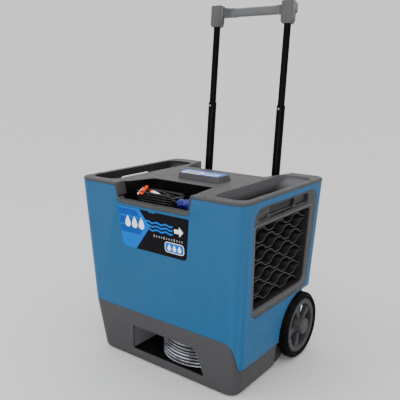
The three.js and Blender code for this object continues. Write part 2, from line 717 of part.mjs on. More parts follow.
// A finned heat exchanger: fins cut as grooves across its face, with plain end plates.
function finnedCoil(x0, x1, y0, y1, z0, z1, fins) {
  const core = box(x0 + 3, x1 - 3, y0, y1, z0 + 3, z1 - 3);
  const grooves = [];
  const pitch = (y1 - y0 - 24) / fins;
  for (let i = 0; i < fins; i++) {
    const y = y0 + 12 + pitch * i;
    grooves.push(box(x1 - 12, x1 + 1, y, y + pitch * 0.55, z0 + 10, z1 - 10));
  }
  const plates = [box(x0, x1, y0, y0 + 4, z0, z1), box(x0, x1, y1 - 4, y1, z0, z1)];
  return join([core, ...plates]).subtract(join(grooves));
}

function exchangerCore() {
  const core = box(156, 214, -185, 120, PLATE_Z + 3 + GAP, 520);
  const slots = [];
  for (let i = 0; i < 8; i++) {
    const z = PLATE_Z + 50 + 36 * i;
    slots.push(box(140, 225, -175, 110, z, z + 10));
  }
  return core.subtract(join(slots));
}

function dripTray() {
  const outer = box(150, 282, -205, 140, PLATE_Z + GAP, PLATE_Z + 26);
  const inner = box(153, 279, -202, 137, PLATE_Z + 3, PLATE_Z + 30);
  const drain = bar("x", -150, PLATE_Z + 12, 140, 156, 5, 12);
  return outer.subtract(inner).subtract(drain);
}

function fanShroud() {
  const plate = box(-216, -212, -195, 155, PLATE_Z + GAP, 590);
  const duct = bar("x", FAN.y, FAN.z, -300, -212, FAN.radius + 8, 28);
  const throat = bar("x", FAN.y, FAN.z, -301, -200, FAN.radius + 4, 28);
  const spider = [
    box(-213, -206, FAN.y - 150, FAN.y + 150, FAN.z - 10, FAN.z + 10),
    box(-213, -206, FAN.y - 10, FAN.y + 10, FAN.z - 150, FAN.z + 150),
    bar("x", FAN.y, FAN.z, -213, -206, 40),
  ];
  return plate.add(duct).subtract(throat).add(join(spider)).subtract(bar("x", FAN.y, FAN.z, -301, -200, 8));
}

// The impeller about its own axis: a hub and six pitched blades.
function fanImpeller() {
  const cup = bar("x", 0, 0, -268, -226, 44).subtract(bar("x", 0, 0, -280, -234, 38));
  const hub = cup.add(bar("x", 0, 0, -268, -226, 12));
  const blades = [0, 1, 2, 3, 4, 5].map((k) =>
    box(-2, 2, -34, 34, 40, FAN.radius - 4).rotate([0, 0, 38]).translate([-247, 0, 0]).rotate([60 * k, 0, 0]),
  );
  return hub.add(join(blades)).subtract(bar("x", 0, 0, -300, -200, 6.4));
}

function fanMotor() {
  const can = turnedProfile([[0, 0], [40, 0], [43, 4], [43, 84], [36, 92], [0, 92], [0, 0]], 24, true);
  const shaft = bar("x", 0, 0, -58, 2, 6, 16);
  return can.add(shaft).translate([-205.5, FAN.y, FAN.z]);
}

function compressor() {
  const can = turnedProfile([
    [0, 0], [96, 0], [96, 6], [74, 10], [80, 20], [80, 160], [70, 190], [40, 208], [0, 212], [0, 0],
  ], 24);
  const stub = bar("z", 0, 52, 190, 226, 7, 12);
  return can.add(stub).translate([-20, 55, PLATE_Z + GAP]);
}

function condensatePump() {
  const tank = prism(rectangle(-150, -40, -205, -95, 10), "z", PLATE_Z + GAP, PLATE_Z + 62);
  const motor = bar("z", -95, -150, PLATE_Z + 60, PLATE_Z + 112, 32);
  const outlet = bar("z", -56, -189, PLATE_Z + 60, PLATE_Z + 84, 5, 12);
  return join([tank, motor, outlet]);
}

// From the compressor's top, round the back of the coils.
const refrigerantLine = () =>
  alongCurve([
    [-20, 107, 403.5], [-20, 108, 440], [10, 130, 492], [90, 150, 500],
    [190, 156, 480], [246, 158, 420], [248, 158, 330],
  ], 5, 20, 6);

// ---- Cords and hoses ----

// The strain relief stands on the pocket's left wall and points along +X at the hank.
const HANK_SKIN = HANK.width / 2 + CORD_RADIUS * HANK.columns;
const CORD_LINE = { y: HANK.y - HANK_SKIN + CORD_RADIUS, z: POCKET_FLOOR_Z + CORD_RADIUS + 0.5 };
const GLAND_X = -153; // the foot of the gland, close to the pocket's wall

function cordGland() {
  const profile = [[0, 0], [8, 0], [8, 6], [7.2, 8], [5.6, 36], [0, 36], [0, 0]];
  const body = turnedProfile(profile, 16, true).translate([GLAND_X, CORD_LINE.y, CORD_LINE.z + 2]);
  const mouth = bar("x", CORD_LINE.y, CORD_LINE.z, GLAND_X + 17, GLAND_X + 40, CORD_RADIUS + 0.1, 12);
  return body.intersect(box(-200, 0, -280, -200, POCKET_FLOOR_Z + GAP, 700)).subtract(mouth);
}

function powerCordCoil() {
  const half = HANK.run / 2;
  const track = (reach) => {
    const shape = new THREE.Shape();
    shape.absarc(HANK.x + half, HANK.y, reach, -Math.PI / 2, Math.PI / 2, false);
    shape.absarc(HANK.x - half, HANK.y, reach, Math.PI / 2, (3 * Math.PI) / 2, false);
    return shape.getPoints(8);
  };
  const z0 = POCKET_FLOOR_Z + 0.5;
  const z1 = z0 + 2 * CORD_RADIUS * HANK.layers;
  const inner = HANK.width / 2 - CORD_RADIUS * HANK.columns;
  return prism(track(HANK_SKIN), "z", z0, z1).subtract(prism(track(inner), "z", z0 - 1, z1 + 1));
}

const CORD_TOP_Z = POCKET_FLOOR_Z + 0.5 + 2 * CORD_RADIUS * HANK.layers + CORD_RADIUS + 0.3;
const PLUG = { x: 74, y: -243, z: 641, radius: 18, length: 60 };

// The cord's last stretch, from the top of its hank to the plug.
const powerCordEnd = () =>
  alongCurve([
    [-70, CORD_LINE.y, CORD_TOP_Z], [-30, CORD_LINE.y, CORD_TOP_Z], [12, CORD_LINE.y, CORD_TOP_Z],
    [40, CORD_LINE.y, CORD_TOP_Z + 0.3], [50, CORD_LINE.y, CORD_TOP_Z - 1.5], [59, -249.5, PLUG.z + 7],
    [66, PLUG.y - 2, PLUG.z + 1.5], [PLUG.x - 2, PLUG.y, PLUG.z],
  ], CORD_RADIUS, 12, 8);

function cordPlug() {
  const { radius, length } = PLUG;
  const profile = [
    [0, 0], [6, 0], [9, 12], [radius - 2, 18], [radius, 26],
    [radius, length - 4], [radius - 3, length], [0, length], [0, 0],
  ];
  const blades = [-7, 5.4].map((y) => box(length - 1, length + 12, y, y + 1.6, -3.5, 3.5));
  return join([turnedProfile(profile, 16, true), ...blades]).translate([PLUG.x, PLUG.y, PLUG.z]);
}

const COIL_Z0 = BIN.z0 + 0.5;
const COIL_Z1 = COIL_Z0 + 2 * HOSE_RADIUS * HOSE_COIL.layers;
const COIL_OUTER = HOSE_COIL.radius + HOSE_RADIUS * HOSE_COIL.columns;

function drainHoseCoil() {
  const inner = HOSE_COIL.radius - HOSE_RADIUS * HOSE_COIL.columns;
  return hoop(inner, COIL_OUTER, COIL_Z0, COIL_Z1, 32).translate([HOSE_COIL.x, HOSE_COIL.y, 0]);
}

// The drain hose starts at an elbow behind its coil, and winds inwards on to the coil's outermost turn.
const HOSE_START = { turn: 125, radius: 168, z: 52 };
const HOSE_MERGE_TURN = 215;
const HOSE_TOUCH_TURN = 167; // where it meets the coil
const ELBOW_REACH = 18; // from the hose's end to the middle of the elbow

const easeInOut = (t) => t * t * (3 - 2 * t);

function hosePoint(turn) {
  const along = (turn - HOSE_START.turn) / (HOSE_MERGE_TURN - HOSE_START.turn);
  const merged = HOSE_COIL.radius + HOSE_RADIUS;
  const radius = HOSE_START.radius + (merged - HOSE_START.radius) * easeInOut(along);
  const drop = (HOSE_START.z - COIL_Z0 - HOSE_RADIUS) * easeInOut(Math.min(2.5 * along, 1));
  const angle = THREE.MathUtils.degToRad(turn);
  const x = HOSE_COIL.x + radius * Math.cos(angle);
  const y = HOSE_COIL.y + radius * Math.sin(angle);
  return [x, y, HOSE_START.z - drop];
}

function drainHoseEnd() {
  const points = [];
  for (let turn = HOSE_START.turn; turn <= HOSE_TOUCH_TURN; turn += 6) {
    points.push(hosePoint(turn));
  }
  return alongCurve(points, HOSE_RADIUS, 8, 8);
}

// The elbow on the bin's back wall, with the barb that the drain hose is pushed on to.
function drainFitting() {
  const barb = [[0, -20], [7, -20], [7, -8], [4.4, -8], [4.4, -GAP], [0, -GAP], [0, -20]];
  const [x, y, z] = hosePoint(HOSE_START.turn);
  const spout = turnedProfile(barb, 12, true).rotate([0, 0, HOSE_START.turn + 90]).translate([x, y, z]);
  const wall = BIN.y1 - GAP;
  const elbowX = x + ELBOW_REACH * Math.sin(THREE.MathUtils.degToRad(HOSE_START.turn));
  const flange = bar("y", elbowX, z, wall - 6, wall, 10, 16);
  const block = box(elbowX - 8, elbowX + 8, wall - 13, wall - 5, z - 8, z + 8);
  return join([spout, block, flange]);
}

// ---- Assembly ----

add("housing_shell", housingShell(), "blueShell");
add("base_tray", baseTray(), "greyPlastic");
add("top_cover", topCover(), "greyPlastic");
add("hose_bin", hoseBin(), "greyPlastic");
add("inlet_bezel", inletBezel(), "greyPlastic");
add("inlet_grille", inletGrille(), "greyPlastic");
add("air_filter", airFilter(), "filter");
add("outlet_bezel", outletBezel(), "greyPlastic");
add("outlet_guard", outletGuard(), "steel");

add("control_pod", controlPod(), "greyPlastic");
add("display_lens", displayLens(), "lens");
add("control_board", controlBoard(), "board");
KEYS.forEach((name, i) => add("key_" + name, podKey(i), "key"));

for (const [name, side] of SIDES) {
  add("guide_tube_" + name, guideTube(side * HANDLE_X), "tube", handleFrame);
  add("guide_collar_" + name, guideCollar(side * HANDLE_X), "blackPlastic", handleFrame);
  const middle = tube(side * HANDLE_X, MIDDLE_RADIUS, MIDDLE_FOOT, MIDDLE_TOP);
  add("middle_tube_" + name, middle.subtract(buttonHole(side * HANDLE_X, BUTTONS[1].z)), "tube", handleFrame);
  const upper = tube(side * HANDLE_X, UPPER_RADIUS, UPPER_FOOT, FITTING_TOP - 14);
  add("upper_tube_" + name, upper, "tube", handleFrame);
  add("grip_fitting_" + name, gripFitting(side), "gripPlastic", handleFrame);
  for (const button of BUTTONS) {
    add(button.name + "_" + name, lockButton(side * HANDLE_X, button), "steel", handleFrame);
  }
  add("axle_bracket_" + name, axleBracket(side), "steel");

  const wheel = new THREE.Group();
  wheel.position.set(side * WHEEL_FACE_X, WHEEL_Y, WHEEL_RADIUS);
  wheel.rotation.z = side > 0 ? 0 : Math.PI;
  machine.add(wheel);
  add("tyre_" + name, tyre(), "rubber", wheel);
  add("wheel_" + name, wheelRim(), "greyPlastic", wheel);
  add("hub_cap_" + name, hubCap(), "greyPlastic", wheel);
}
add("crossbar", crossbar(), "gripPlastic", handleFrame);
const axleEnd = HUB_FACE_X - 4;
add("axle", bar("x", WHEEL_Y, WHEEL_RADIUS, -axleEnd, axleEnd, AXLE_RADIUS), "steel");

add("equipment_plate", equipmentPlate(), "steel");
add("evaporator_coil", finnedCoil(222, 274, -195, 130, PLATE_Z + 3 + GAP, 530, 14), "aluminium");
add("heat_exchanger_core", exchangerCore(), "aluminium");
add("condenser_coil", finnedCoil(92, 140, -195, 130, PLATE_Z + GAP, 530, 14), "aluminium");
add("drip_tray", dripTray(), "blackPlastic");
add("fan_shroud", fanShroud(), "blackPlastic");
const impeller = add("fan_impeller", fanImpeller(), "blackPlastic");
impeller.position.set(0, FAN.y, FAN.z);
add("fan_motor", fanMotor(), "steel");
add("compressor", compressor(), "blackPlastic");
add("condensate_pump", condensatePump(), "blackPlastic");
add("refrigerant_line", refrigerantLine(), "copper");

add("cord_gland", cordGland(), "blackPlastic");
add("power_cord_coil", powerCordCoil(), "cord");
add("power_cord_end", powerCordEnd(), "cord");
add("cord_plug", cordPlug(), "plug");
add("drain_fitting", drainFitting(), "blackPlastic");
add("drain_hose_coil", drainHoseCoil(), "clearHose");
add("drain_hose_end", drainHoseEnd(), "clearHose");

// The origin is on the ground under the middle of the machine's outline.
const MACHINE_SHIFT_Y = -36.6;
machine.position.y = MACHINE_SHIFT_Y;
const dehumidifier = new THREE.Group();
dehumidifier.add(machine);

export default dehumidifier;
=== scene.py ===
"""Looks for a commercial dehumidifier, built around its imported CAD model.

Metres, +Z up, the front towards -Y.
"""

import json
import math

import bmesh
import bpy
from mathutils import Matrix, Vector


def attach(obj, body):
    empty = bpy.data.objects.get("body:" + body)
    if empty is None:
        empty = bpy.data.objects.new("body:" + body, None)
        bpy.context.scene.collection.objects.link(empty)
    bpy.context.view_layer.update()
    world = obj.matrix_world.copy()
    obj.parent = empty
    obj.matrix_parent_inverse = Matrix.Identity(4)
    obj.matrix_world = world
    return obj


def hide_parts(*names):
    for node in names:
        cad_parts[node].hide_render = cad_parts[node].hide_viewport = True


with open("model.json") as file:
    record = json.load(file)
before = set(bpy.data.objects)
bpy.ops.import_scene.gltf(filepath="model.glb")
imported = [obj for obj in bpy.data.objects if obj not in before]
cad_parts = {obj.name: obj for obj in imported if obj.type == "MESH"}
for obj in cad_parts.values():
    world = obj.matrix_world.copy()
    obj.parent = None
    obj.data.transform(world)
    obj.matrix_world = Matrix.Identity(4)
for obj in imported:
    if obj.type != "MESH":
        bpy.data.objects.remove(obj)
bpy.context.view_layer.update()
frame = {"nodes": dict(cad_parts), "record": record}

MM = 0.001
SHIFT_Y = -36.6  # the part's shift along Y; lengths below are millimetres in the frame before that shift

NODE_SLOTS = {row["node"]: row["material_slot"] for row in frame["record"]["subparts"]}
BODIES = frame["record"]["behaviour"]["bodies"]
NODE_BODIES = {node: body for body, nodes in BODIES.items() for node in nodes}


def mm(x, y, z):
    """A point in millimetres, before the part's shift, as a Vector in metres in the row frame."""
    return Vector((x * MM, (y + SHIFT_Y) * MM, z * MM))


# ---- Camera ----

CAMERA_PLACE = mm(1178.8, -1590.9, 1058.4)
CAMERA_YAW, CAMERA_PITCH, CAMERA_ROLL = math.radians(36.87), math.radians(13.19), math.radians(0.46)
CAMERA_LENS = 48.67
SENSOR_WIDTH = 36


def make_camera():
    forward = Vector((
        -math.sin(CAMERA_YAW) * math.cos(CAMERA_PITCH),
        math.cos(CAMERA_YAW) * math.cos(CAMERA_PITCH),
        -math.sin(CAMERA_PITCH),
    ))
    level = Vector((math.cos(CAMERA_YAW), math.sin(CAMERA_YAW), 0))
    upright = level.cross(forward)
    right = level * math.cos(CAMERA_ROLL) + upright * math.sin(CAMERA_ROLL)
    up = upright * math.cos(CAMERA_ROLL) - level * math.sin(CAMERA_ROLL)
    data = bpy.data.cameras.new("camera")
    data.lens = CAMERA_LENS
    data.sensor_width = SENSOR_WIDTH
    camera = bpy.data.objects.new("camera", data)
    bpy.context.scene.collection.objects.link(camera)
    turn = Matrix((right, up, -forward)).transposed()
    camera.matrix_world = Matrix.Translation(CAMERA_PLACE) @ turn.to_4x4()
    bpy.context.scene.camera = camera


make_camera()


# ---- Materials ----

NOISE_SPAN = (0.3, 0.7)


class Look:
    """A material's node tree, with short calls for the nodes that it needs."""

    def __init__(self, name, color, roughness, metallic=0.0, **constants):
        self.material = bpy.data.materials.new(name)
        self.material.use_nodes = True
        self.tree = self.material.node_tree
        self.shader = self.tree.nodes["Principled BSDF"]
        self.shader.inputs["Base Color"].default_value = (*color, 1)
        self.shader.inputs["Roughness"].default_value = roughness
        self.shader.inputs["Metallic"].default_value = metallic
        for socket, value in constants.items():
            self.shader.inputs[socket.replace("_", " ")].default_value = value
        self.place = self.node("ShaderNodeTexCoord").outputs["Object"]

    def node(self, kind, inputs=(), **settings):
        made = self.tree.nodes.new(kind)
        for key, value in settings.items():
            setattr(made, key, value)
        for key, value in dict(inputs).items():
            if isinstance(value, bpy.types.NodeSocket):
                self.tree.links.new(value, made.inputs[key])
            else:
                made.inputs[key].default_value = value
        return made

    def stretched(self, x, y, z):
        """The place coordinates, scaled along each axis."""
        inputs = {"Vector": self.place, "Scale": (x, y, z)}
        return self.node("ShaderNodeMapping", inputs).outputs["Vector"]

    def noise(self, scale, detail=3, place=None):
        inputs = {"Vector": place or self.place, "Scale": scale, "Detail": detail, "Roughness": 0.55}
        return self.node("ShaderNodeTexNoise", inputs).outputs["Fac"]

    def cells(self, scale):
        inputs = {"Vector": self.place, "Scale": scale}
        return self.node("ShaderNodeTexVoronoi", inputs, feature="F1").outputs["Distance"]

    def waves(self, scale, direction, profile="SIN"):
        inputs = {"Vector": self.place, "Scale": scale}
        settings = {"wave_type": "BANDS", "bands_direction": direction, "wave_profile": profile}
        return self.node("ShaderNodeTexWave", inputs, **settings).outputs["Fac"]

    def ranged(self, value, low, high, to_low=0.0, to_high=1.0):
        inputs = {"Value": value, "From Min": low, "From Max": high, "To Min": to_low, "To Max": to_high}
        return self.node("ShaderNodeMapRange", inputs).outputs["Result"]

    def product(self, first, second):
        return self.node("ShaderNodeMath", {0: first, 1: second}, operation="MULTIPLY").outputs[0]

    def mixed(self, factor, first, second):
        """Two colours, mixed by a factor."""
        made = self.node("ShaderNodeMix", data_type="RGBA")
        for index, value in ((0, factor), (6, first), (7, second)):
            if isinstance(value, bpy.types.NodeSocket):
                self.tree.links.new(value, made.inputs[index])
            else:
                made.inputs[index].default_value = value
        return made.outputs[2]

    def set(self, socket, value):
        self.tree.links.new(value, self.shader.inputs[socket])

    def vary_roughness(self, noise, low, high):
        """Roughness from low to high, over the range where most of a noise's values lie."""
        self.set("Roughness", self.ranged(noise, *NOISE_SPAN, low, high))

    def bump(self, heights, depths):
        """Stacks bump maps, each height with its own depth in metres."""
        normal = None
        for height, depth in zip(heights, depths):
            inputs = {"Height": height, "Distance": depth, "Strength": 1}
            if normal is not None:
                inputs["Normal"] = normal
            normal = self.node("ShaderNodeBump", inputs).outputs["Normal"]
        self.set("Normal", normal)

    def edges(self, low, high):
        """1 on outer edges, which are abraded and carry a painted highlight, and 0 on flats."""
        return self.ranged(self.node("ShaderNodeNewGeometry").outputs["Pointiness"], low, high)


def shade(color, factor):
    return tuple(min(c * factor, 1) for c in color[:3]) + (1,)


def srgb(r, g, b):
    """A colour given as 0 to 255 screen values, as linear values."""
    shares = (r / 255, g / 255, b / 255)
    return tuple(c / 12.92 if c <= 0.04045 else ((c + 0.055) / 1.055) ** 2.4 for c in shares)


def rgba(r, g, b):
    return (*srgb(r, g, b), 1)


DUST = rgba(150, 149, 145)
# the pale edge colour: partly abrasion, partly a painted highlight
RUBBED_AND_HIGHLIT = rgba(160, 160, 160)
# how dark the painted shade low in a recess is
PAINTED_SHADE_FACTOR = 0.22


def moulded_plastic(name, color, roughness, mottle=0.08, wear_and_highlight=0.2, dust=0.03, shine=0.1, painted_shade_heights=None):
    """Moulded plastic: mottled colour, fine leather grain, pale edges that are partly abraded and partly a
    painted highlight, and dust in streaks.

    Painted shade heights are a lower and an upper height in metres, between which the colour fades from a
    painted shade to clean.
    """
    look = Look(name, color, roughness, Specular_IOR_Level=shine)
    broad = look.ranged(look.noise(5, 4), *NOISE_SPAN)
    base = look.mixed(broad, shade(color, 1 - mottle), shade(color, 1 + mottle))
    speck = look.ranged(look.noise(900, 2), 0.35, 0.75)
    base = look.mixed(speck, base, shade(color, 1.12))
    streaks = look.ranged(look.noise(26, 5, look.stretched(1, 1, 0.25)), 0.52, 0.75, 0, dust)
    base = look.mixed(streaks, base, DUST)
    # pale edges: partly abrasion, partly a painted highlight
    worn_and_highlit = look.mixed(0.55, shade(color, 1.4), RUBBED_AND_HIGHLIT)
    base = look.mixed(look.product(look.edges(0.52, 0.6), wear_and_highlight), base, worn_and_highlit)
    # painted shade: the colour darkens towards the bottom, below the given heights
    if painted_shade_heights:
        height = look.node("ShaderNodeSeparateXYZ", {0: look.place}).outputs["Z"]
        base = look.mixed(look.ranged(height, *painted_shade_heights), shade(color, PAINTED_SHADE_FACTOR), base)
    look.set("Base Color", base)
    look.vary_roughness(look.noise(40, 4), roughness - 0.07, roughness + 0.08)
    look.bump([look.cells(1400), look.noise(260, 3)], [0.00008, 0.000128])
    return look.material


def rubber(name, color, roughness=0.75):
    """Dusty black rubber with a ribbed tread."""
    look = Look(name, color, roughness, Specular_IOR_Level=0.05)
    dusty = look.ranged(look.noise(18, 5), 0.4, 0.75, 0, 0.3)
    look.set("Base Color", look.mixed(dusty, shade(color, 1), rgba(34, 33, 32)))
    look.vary_roughness(look.noise(60, 3), roughness - 0.1, roughness + 0.1)
    look.bump([look.waves(75, "X", "TRI"), look.noise(700, 3)], [0.0012, 0.0001])
    return look.material


def tube_finish(name, color, roughness):
    """Anodised tube: fine lengthwise rub marks where it slides."""
    look = Look(name, color, roughness, Specular_IOR_Level=0.06)
    rub = look.ranged(look.noise(90, 4, look.stretched(1, 1, 0.02)), 0.5, 0.8, 0, 0.35)
    look.set("Base Color", look.mixed(rub, shade(color, 1), rgba(12, 12, 14)))
    look.vary_roughness(look.noise(150, 3, look.stretched(1, 1, 0.05)), roughness - 0.08, roughness + 0.12)
    look.bump([look.noise(500, 2, look.stretched(1, 1, 0.05))], [0.00003])
    return look.material


def metal(name, color, roughness, direction=(1, 1, 0.05)):
    """Rolled sheet or drawn metal, with a brushed grain and light tarnish."""
    look = Look(name, color, roughness, 0.95)
    brushed = look.noise(600, 3, look.stretched(*direction))
    tarnish = look.ranged(look.noise(22, 5), 0.35, 0.75, 0, 0.35)
    look.set("Base Color", look.mixed(tarnish, shade(color, 1), shade(color, 0.6)))
    look.vary_roughness(brushed, roughness - 0.08, roughness + 0.15)
    look.bump([brushed], [0.00004])
    return look.material


def finned(name):
    """Stacked aluminium fins: bright edges, with painted shade in the fine spaces between fins."""
    look = Look(name, srgb(178, 182, 186), 0.4, 0.85)
    fins = look.waves(110, "Y")
    painted_gap_shade = look.ranged(fins, 0.1, 0.5)
    # painted shade: near black in the spaces between fins
    look.set("Base Color", look.mixed(painted_gap_shade, (0.02, 0.02, 0.022, 1), (0.5, 0.52, 0.54, 1)))
    look.vary_roughness(look.noise(80), 0.3, 0.5)
    look.bump([fins], [0.001])
    return look.material


def woven_filter(name):
    """Pleated filter paper with a fine open weave; its pleats are painted in bands of light and shade."""
    look = Look(name, srgb(24, 24, 26), 0.95, Specular_IOR_Level=0.1)
    pleats = look.waves(24, "Z")
    weave = look.cells(650)
    # painted light and shade along the pleats
    pleat_light_and_shade = look.mixed(look.ranged(pleats, 0, 1), rgba(10, 10, 11), rgba(34, 34, 36))
    look.set("Base Color", look.mixed(look.ranged(weave, 0.1, 0.7, 0, 0.5), pleat_light_and_shade, rgba(5, 5, 6)))
    look.bump([pleats, weave], [0.006, 0.0004])
    return look.material


def clear_vinyl(name):
    """Clear hose, slightly smoky: a highlight is painted in patches on its upward shoulders, and the rest is
    dark.
    """
    settings = {"Transmission_Weight": 0.3, "IOR": 1.5, "Coat_Weight": 0.6, "Coat_Roughness": 0.08}
    look = Look(name, srgb(120, 124, 136), 0.16, **settings)
    normal = look.node("ShaderNodeNewGeometry").outputs["Normal"]
    facing_up = look.node("ShaderNodeSeparateXYZ", {0: normal}).outputs["Z"]
    # painted highlight: pale on faces that look up, as if light fell from above
    shoulder = look.product(look.ranged(facing_up, 0.2, 0.5), look.ranged(facing_up, 0.95, 0.7))
    patches = look.ranged(look.noise(13, 4, look.stretched(1, 1, 3)), 0.4, 0.6, 0.12, 1)
    painted_highlight = look.product(shoulder, patches)
    look.set("Base Color", look.mixed(painted_highlight, rgba(16, 17, 22), rgba(188, 193, 212)))
    look.vary_roughness(look.noise(120, 3), 0.08, 0.25)
    look.bump([look.noise(300, 2)], [0.00008])
    return look.material


def cord_jacket(name):
    """A glossy black jacket, a little dusty."""
    look = Look(name, srgb(3, 3, 4), 0.25, Specular_IOR_Level=0.22)
    dusty = look.ranged(look.noise(60, 4), 0.45, 0.75, 0, 0.3)
    look.set("Base Color", look.mixed(dusty, rgba(3, 3, 4), rgba(13, 13, 14)))
    look.vary_roughness(look.noise(70, 3), 0.16, 0.4)
    look.bump([look.noise(500, 2)], [0.00005])
    return look.material


def tinted_clear(name, color):
    """A translucent tinted moulding."""
    look = Look(name, color, 0.16, Transmission_Weight=0.2, IOR=1.49, Specular_IOR_Level=0.3)
    cloud = look.ranged(look.noise(110, 4), 0.35, 0.7)
    look.set("Base Color", look.mixed(cloud, shade(color, 0.22), shade(color, 1.7)))
    look.vary_roughness(look.noise(300, 2), 0.1, 0.25)
    look.bump([look.noise(120, 3), look.noise(420, 3)], [0.0015, 0.0003])
    return look.material


def printed(name, color, roughness=0.4):
    """Ink on a vinyl label, with faint scratches."""
    look = Look(name, color, roughness, Specular_IOR_Level=0.06)
    scratches = look.ranged(look.noise(260, 3, look.stretched(1, 1, 0.12)), 0.68, 0.8, 0, 0.25)
    look.set("Base Color", look.mixed(scratches, shade(color, 1), shade(color, 0.65)))
    look.vary_roughness(look.noise(35, 4), roughness - 0.06, roughness + 0.12)
    look.bump([look.noise(800, 2)], [0.00002])
    return look.material


def webbing(name, color):
    """A woven strap."""
    look = Look(name, color, 0.85, Specular_IOR_Level=0.1, Sheen_Weight=0.05, Sheen_Roughness=0.4)
    weave = look.waves(700, "DIAGONAL")
    look.set("Base Color", look.mixed(look.ranged(weave, 0.2, 0.8), shade(color, 0.72), shade(color, 1.15)))
    look.vary_roughness(look.noise(300), 0.75, 0.95)
    look.bump([weave], [0.0004])
    return look.material


def glass_lens(name):
    """The display's dark glass, with smudges."""
    look = Look(name, srgb(14, 18, 24), 0.08, Coat_Weight=0.6, Coat_Roughness=0.03)
    smudge = look.ranged(look.noise(70, 4), 0.45, 0.75)
    look.set("Roughness", look.ranged(smudge, 0, 1, 0.05, 0.22))
    look.set("Base Color", look.mixed(smudge, rgba(12, 15, 20), rgba(24, 28, 34)))
    return look.material


LOOKS = {
    "blue_shell": moulded_plastic("blue_shell", srgb(6, 77, 119), 0.42, mottle=0.04, dust=0.015),
    "grey_plastic": moulded_plastic("grey_plastic", srgb(58, 58, 60), 0.45),
    "grip_plastic": moulded_plastic("grip_plastic", srgb(74, 75, 77), 0.4, mottle=0.04, wear_and_highlight=0.5),
    "black_plastic": moulded_plastic("black_plastic", srgb(20, 20, 22), 0.5, shine=0.06),
    "handle_tube": tube_finish("handle_tube", srgb(3, 3, 4), 0.34),
    "wheel_rubber": rubber("wheel_rubber", srgb(9, 9, 10)),
    "steel": metal("steel", srgb(168, 170, 173), 0.35),
    "coil_fins": finned("coil_fins"),
    "copper": metal("copper", srgb(196, 120, 84), 0.32),
    "filter_mesh": woven_filter("filter_mesh"),
    "circuit_board": moulded_plastic("circuit_board", srgb(24, 84, 48), 0.45, dust=0.02),
    "display_lens": glass_lens("display_lens"),
    "key_cap": moulded_plastic("key_cap", srgb(226, 230, 234), 0.45, wear_and_highlight=0.1, dust=0.06),
    "clear_hose": clear_vinyl("clear_hose"),
    "cord_jacket": cord_jacket("cord_jacket"),
    "blue_plug": tinted_clear("blue_plug", srgb(16, 18, 118)),
}
WHEEL_GREY = moulded_plastic("wheel_grey", srgb(56, 56, 59), 0.42)
BEZEL_GREY = moulded_plastic("bezel_grey", srgb(34, 34, 36), 0.4, shine=0.2)
GRILLE_GREY = moulded_plastic("grille_grey", srgb(33, 33, 35), 0.4, shine=0.25)
# painted shade: near black for the shaded inside of the cord pocket and the screws' cross cuts
PAINTED_SHADE_BLACK = moulded_plastic("painted_shade_black", srgb(7, 7, 8), 0.6, dust=0.01, wear_and_highlight=0.05, shine=0.04)
# painted light: a lighter copy of the cover's grey for the lit recess walls, with painted shade towards
# their bottom
RECESS_PAINTED_LIGHT_AND_SHADE = moulded_plastic("recess_painted_light_and_shade", srgb(88, 88, 91), 0.5, painted_shade_heights=(0.632, 0.66))
# painted shade: a darker copy of the recess grey for the shaded left recess
RECESS_PAINTED_SHADE = moulded_plastic("recess_painted_shade", srgb(40, 40, 42), 0.5)
# painted light on the bin's end wall and painted shade in the rest of the bin, both one moulding
BIN_PAINTED_LIGHT = moulded_plastic("bin_painted_light", srgb(104, 104, 107), 0.4)
BIN_PAINTED_SHADE = moulded_plastic("bin_painted_shade", srgb(14, 14, 15), 0.5, dust=0.01, wear_and_highlight=0.05)
BEAD_GREY = moulded_plastic("bead_grey", srgb(46, 46, 48), 0.25, shine=0.7)
SCREW_BLACK = moulded_plastic("screw_black", srgb(24, 24, 26), 0.35, shine=0.5)
LABEL_BLUE = printed("label_blue", srgb(2, 98, 190))
LABEL_DEEP_BLUE = printed("label_deep_blue", srgb(3, 70, 150))
LABEL_DARK = printed("label_dark", srgb(15, 13, 16))
LABEL_WHITE = printed("label_white", srgb(232, 234, 236))
LABEL_GREY = printed("label_grey", srgb(150, 148, 154))
ORANGE = webbing("orange_strap", srgb(224, 66, 4))
TAG_WHITE = printed("tag_white", srgb(222, 226, 232), 0.5)


# ---- Pieces ----


def place_piece(piece, body):
    """Links a finished piece into the scene and lets it ride on its body."""
    if piece.name not in bpy.context.scene.collection.objects:
        bpy.context.scene.collection.objects.link(piece)
    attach(piece, body)
    return piece


def smooth_by_angle(mesh, degrees=32):
    mesh.shade_smooth()
    mesh.set_sharp_from_angle(angle=math.radians(degrees))


def piece_from_bmesh(name, bm, materials, body, degrees=32):
    mesh = bpy.data.meshes.new(name)
    bm.to_mesh(mesh)
    bm.free()
    for look in materials:
        mesh.materials.append(look)
    smooth_by_angle(mesh, degrees)
    return place_piece(bpy.data.objects.new(name, mesh), body)


SHARP_ANGLE = math.radians(28)


def soften_edges(bm, width):
    """Rounds the sharp edges of a mesh."""
    sharp = [e for e in bm.edges if len(e.link_faces) == 2 and e.calc_face_angle(0) > SHARP_ANGLE]
    bmesh.ops.bevel(
        bm, geom=sharp, offset=width * MM, offset_type="OFFSET", segments=2, profile=0.5,
        affect="EDGES", clamp_overlap=False,
    )


MERGE_DISTANCE = 2e-6
FLAT_ANGLE = 0.4  # neighbouring faces within this many degrees become one
FACE_WEIGHT = 90


